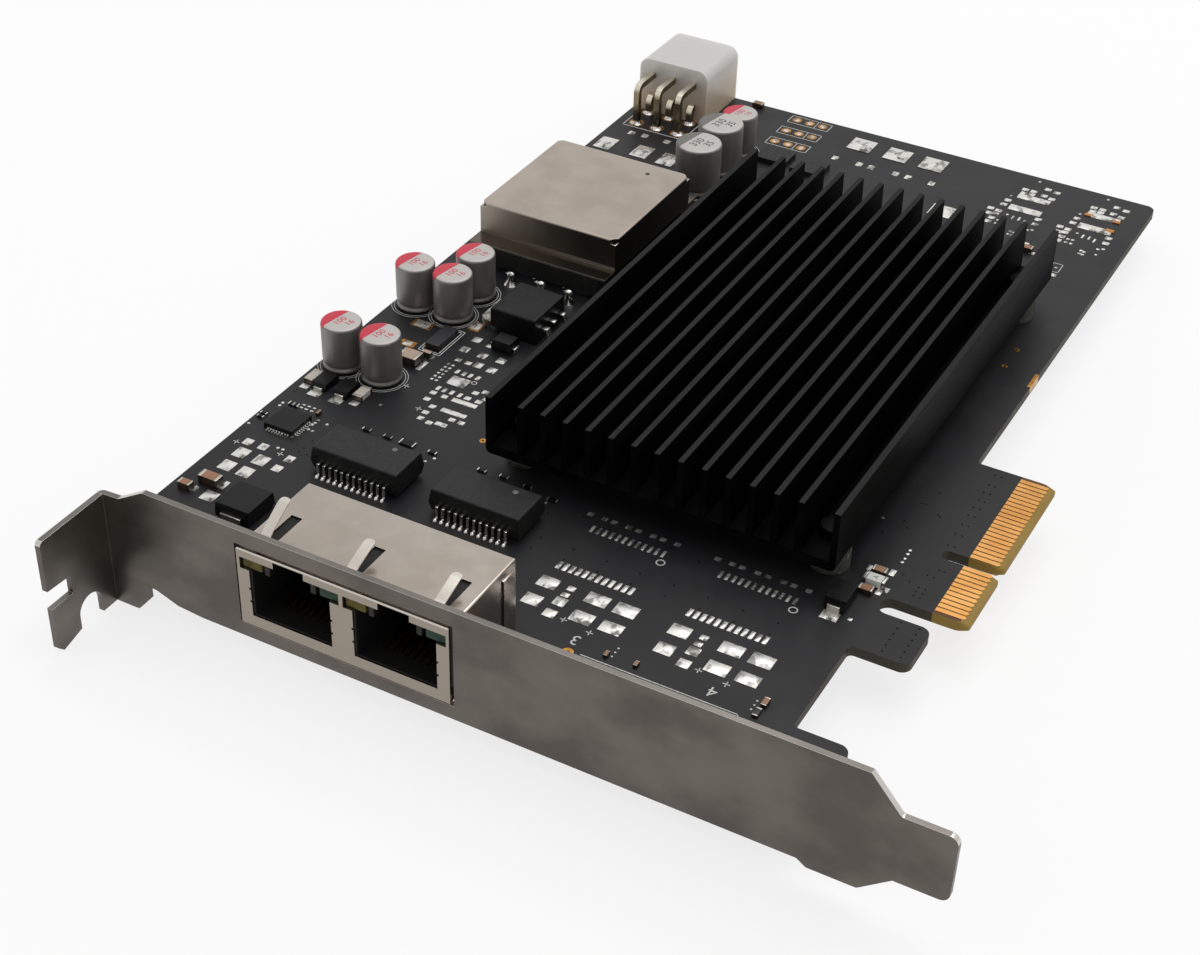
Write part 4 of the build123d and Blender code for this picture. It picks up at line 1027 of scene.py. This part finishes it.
# Small two-ended chips. Blocks of fired brown and cream ceramic, and a white indicator, between ends
# dipped in tin.
ceramic_brown = tone(146, 104, 76)
ceramic_cream = tone(164, 128, 100)
ceramic = Finish("fired_ceramic", ceramic_brown, 0.42)
pale_block = (ceramic.along("X") < 15) * (ceramic.along("Y") > 60)
batch = ceramic.ramp(ceramic.noise(9, 2), 0.4, 0.6) * 0.5
mixed_batch = ceramic.blend(batch, ceramic_brown, ceramic_cream)
shaded = ceramic.ramp(ceramic.facing("Z"), 0.75, 0.3)
fired = ceramic.blend(pale_block, mixed_batch, tone(178, 154, 136))
ceramic.feed(Base_Color=ceramic.blend(shaded * 0.95, fired, tone(40, 29, 23)))
ceramic.grain(0.2, 2, 0.01)
eased("ceramic_capacitors", "ceramic_blocks", 0.08, ceramic, "ceramic")
white_chip = Finish("white_indicator", tone(222, 220, 212), 0.4, Subsurface_Weight=0.1)
white_chip.grain(0.3, 2, 0.01)
eased("indicator_chip", "indicator_block", 0.08, white_chip, "white_chip")
indicator_low, indicator_high = bounds_of("indicator_chip")
indicator_middle = ((indicator_low + indicator_high) / 2).xy
mark_line = 0.1
mesh = bmesh.new()
for reach in ((0.28, 0.22), (0.28, -0.22), (-0.3, 0)):
    stroke(mesh, indicator_middle, indicator_middle + Vector(reach), mark_line)
bmesh.ops.translate(mesh, verts=mesh.verts, vec=(0, 0, indicator_high.z))
piece("indicator_mark", mesh, figure_ink, "white_chip")
dipped_tone = tone(196, 188, 176)
dipped = Finish("dipped_tin", dipped_tone, 0.4, Metallic=0.7)
# The sides of the ends are painted dark, as shade.
dipped_side_shade = dipped.ramp(dipped.facing("Z"), 0.75, 0.3)
inductor_end = (dipped.along("X") < 11) * (dipped.along("Y") > 64.8) * (dipped.along("Y") < 72.6)
dipped_top = dipped.blend(inductor_end, dipped_tone, tone(72, 71, 70))
dipped.feed(Base_Color=dipped.blend(dipped_side_shade * 0.95, dipped_top, tone(60, 53, 46)))
dipped.grain(0.4, 2, 0.01)
eased("ceramic_capacitor_ends", "ceramic_block_ends", 0.08, dipped, "tin")
eased("chip_resistor_ends", "small_chip_ends", 0.05, dipped, "tin")

# Loose small chips. Black moulded chips with two tinned ends, too small to be nodes, behind the line
# transformers and beside the square chip. The square chip's cut copper leads end at its sides in
# tips of pale tin, made mostly matt so that they stay bright, as a painted glint.
tiny_chips = [
    (12.95, 42.6, 1.0, 0.6), (16.6, 42.6, 1.0, 0.6), (19.9, 42.7, 2.0, 1.2), (24.2, 42.6, 1.0, 0.6),
    (32.6, 42.5, 1.0, 0.6), (36.1, 42.75, 1.0, 0.6), (40.2, 42.4, 1.0, 0.6), (44.7, 41.5, 1.2, 0.8),
    (-2.3, 37.5, 0.7, 0.5), (-2.35, 38.4, 0.7, 0.5), (-0.3, 42.5, 0.5, 0.8), (0.5, 42.5, 0.5, 0.8),
]
tiny_height = 0.35
tiny_end = 0.2
tiny_end_height = tiny_height * 0.9
mesh = bmesh.new()
ends = bmesh.new()
for x, y, width, depth in tiny_chips:
    slab(mesh, x, y, width, depth, tiny_height)
    for hand in (1, -1):
        slab(ends, x + hand * (width + tiny_end) / 2, y, tiny_end, depth, tiny_end_height)
piece("tiny_chips", mesh, satin_epoxy, "epoxy")
piece("tiny_chip_ends", ends, tin, "tin")
square_low, square_high = bounds_of("supply_controller")
ends = bmesh.new()
glint_tips = Finish("cut_tips", tone(236, 235, 232), 0.5, Metallic=0.25)
glint_tips.grain(0.2, 2, 0.01)
tip_width = 0.26
tip_height = 0.2
tip_length = 0.14
tip_inset = 0.03
for step in square_steps:
    for y in (square_low.y + tip_inset, square_high.y - tip_inset):
        slab(ends, square_x + step, y, tip_width, tip_length, tip_height)
    for x in (square_low.x + tip_inset, square_high.x - tip_inset):
        slab(ends, x, square_y + step, tip_length, tip_width, tip_height)
piece("square_chip_tips", ends, glint_tips, "tin")
eased("indicator_chip_ends", "indicator_ends", 0.08, tin, "tin")

# Solder side. Each pin that passes through the board ends under it in a cone of solder with hollow
# sides, left by the solder wave.
tails = [("jack_pin_tails", "jack_tails", 0.08), ("capacitor_lead_tails", "capacitor_tails", 0.08),
         ("supply_transformer_tails", "transformer_tails", 0.1)]
cone_spread = 0.45
cone_height = 0.9
places = {(x, round(y, 2), pin_side) for x, y in header_feet}
for node, name, width in tails:
    eased(node, name, width, solder, "tin")
    loose = merged(node, dissolve=False)
    for face in [f for f in loose.faces if f.normal.z > 0.9]:
        middle = face.calc_center_bounds()
        diagonal = max(e.calc_length() for e in face.edges)
        places.add((round(middle.x, 2), round(middle.y, 2), round(diagonal / sqrt(2), 2)))
    loose.free()
cones = bmesh.new()
for x, y, width in sorted(places):
    joint(cones, x, y, width * 0.5 + cone_spread, width * 0.55, cone_height)
bmesh.ops.scale(cones, verts=cones.verts, vec=(1, 1, -1))
bmesh.ops.translate(cones, verts=cones.verts, vec=(0, 0, board_low.z))
piece("under_solder", cones, solder, "tin", smooth=60)

# Floor, light and camera. They stage the picture and aren't part of the card: a pale floor, one soft
# lamp overhead, and a camera that stands where the photographer's stood.
floor_level = Matrix.Translation((0, 0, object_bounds()[0][2]))
floor_glow = 0.78
floor_mesh = bmesh.new()
bmesh.ops.create_grid(floor_mesh, x_segments=1, y_segments=1, size=3, matrix=floor_level)
pale = Finish("pale_floor", (0.9, 0.9, 0.9, 1), 0.9, Specular_IOR_Level=0.0)
tree = pale.tree
glow = tree.nodes.new("ShaderNodeEmission")
mixed = tree.nodes.new("ShaderNodeMixShader")
rays = tree.nodes.new("ShaderNodeLightPath")
seen = Shade(tree, rays.outputs["Is Camera Ray"])
for kind in ("Is Glossy Ray", "Is Transmission Ray"):
    seen = seen.math("MAXIMUM", seen, Shade(tree, rays.outputs[kind]))
pale.connect(mixed.inputs[0], seen * floor_glow)
tree.links.new(pale.shader.outputs[0], mixed.inputs[1])
tree.links.new(glow.outputs[0], mixed.inputs[2])
tree.links.new(mixed.outputs[0], tree.nodes["Material Output"].inputs[0])
shown("floor", floor_mesh, pale)

sky_strength = 0.7
world = bpy.data.worlds.new("studio")
bpy.context.scene.world = world
world.use_nodes = True
background = world.node_tree.nodes["Background"]
background.inputs["Color"].default_value = (1, 1, 1, 1)
background.inputs["Strength"].default_value = sky_strength


def lamp(name, place, aim, size, watts):
    """Adds a soft square lamp that points at a place on the card, in metres."""
    light = bpy.data.lights.new(name, "AREA")
    light.size = size
    light.energy = watts
    made = bpy.data.objects.new(name, light)
    made.location = place
    made.rotation_euler = (Vector(aim) - Vector(place)).to_track_quat("-Z", "Y").to_euler()
    bpy.context.scene.collection.objects.link(made)


card_middle = (0.045, 0.085, 0.0)
lamp_place = (0.1, 0.35, 0.75)
lamp("overhead", lamp_place, card_middle, size=0.7, watts=2.6)

lens = bpy.data.cameras.new("camera")
lens.sensor_width = 36
lens.lens = 62.897
lens.shift_x = -0.01454
lens.shift_y = 0.01001
lens.clip_start = 0.01
camera = bpy.data.objects.new("camera", lens)
right = Vector((0.879179, 0.475602, 0.029098))
down = Vector((0.304111, -0.513059, -0.802675))
forward = Vector((-0.366825, 0.714544, -0.595707))
eye = Vector((0.159693, -0.162727, 0.176135))
turn = Matrix((right, -down, -forward)).transposed()
camera.matrix_world = Matrix.Translation(eye) @ turn.to_4x4()
bpy.context.scene.collection.objects.link(camera)
bpy.context.scene.camera = camera
bpy.context.scene.view_settings.view_transform = "Standard"
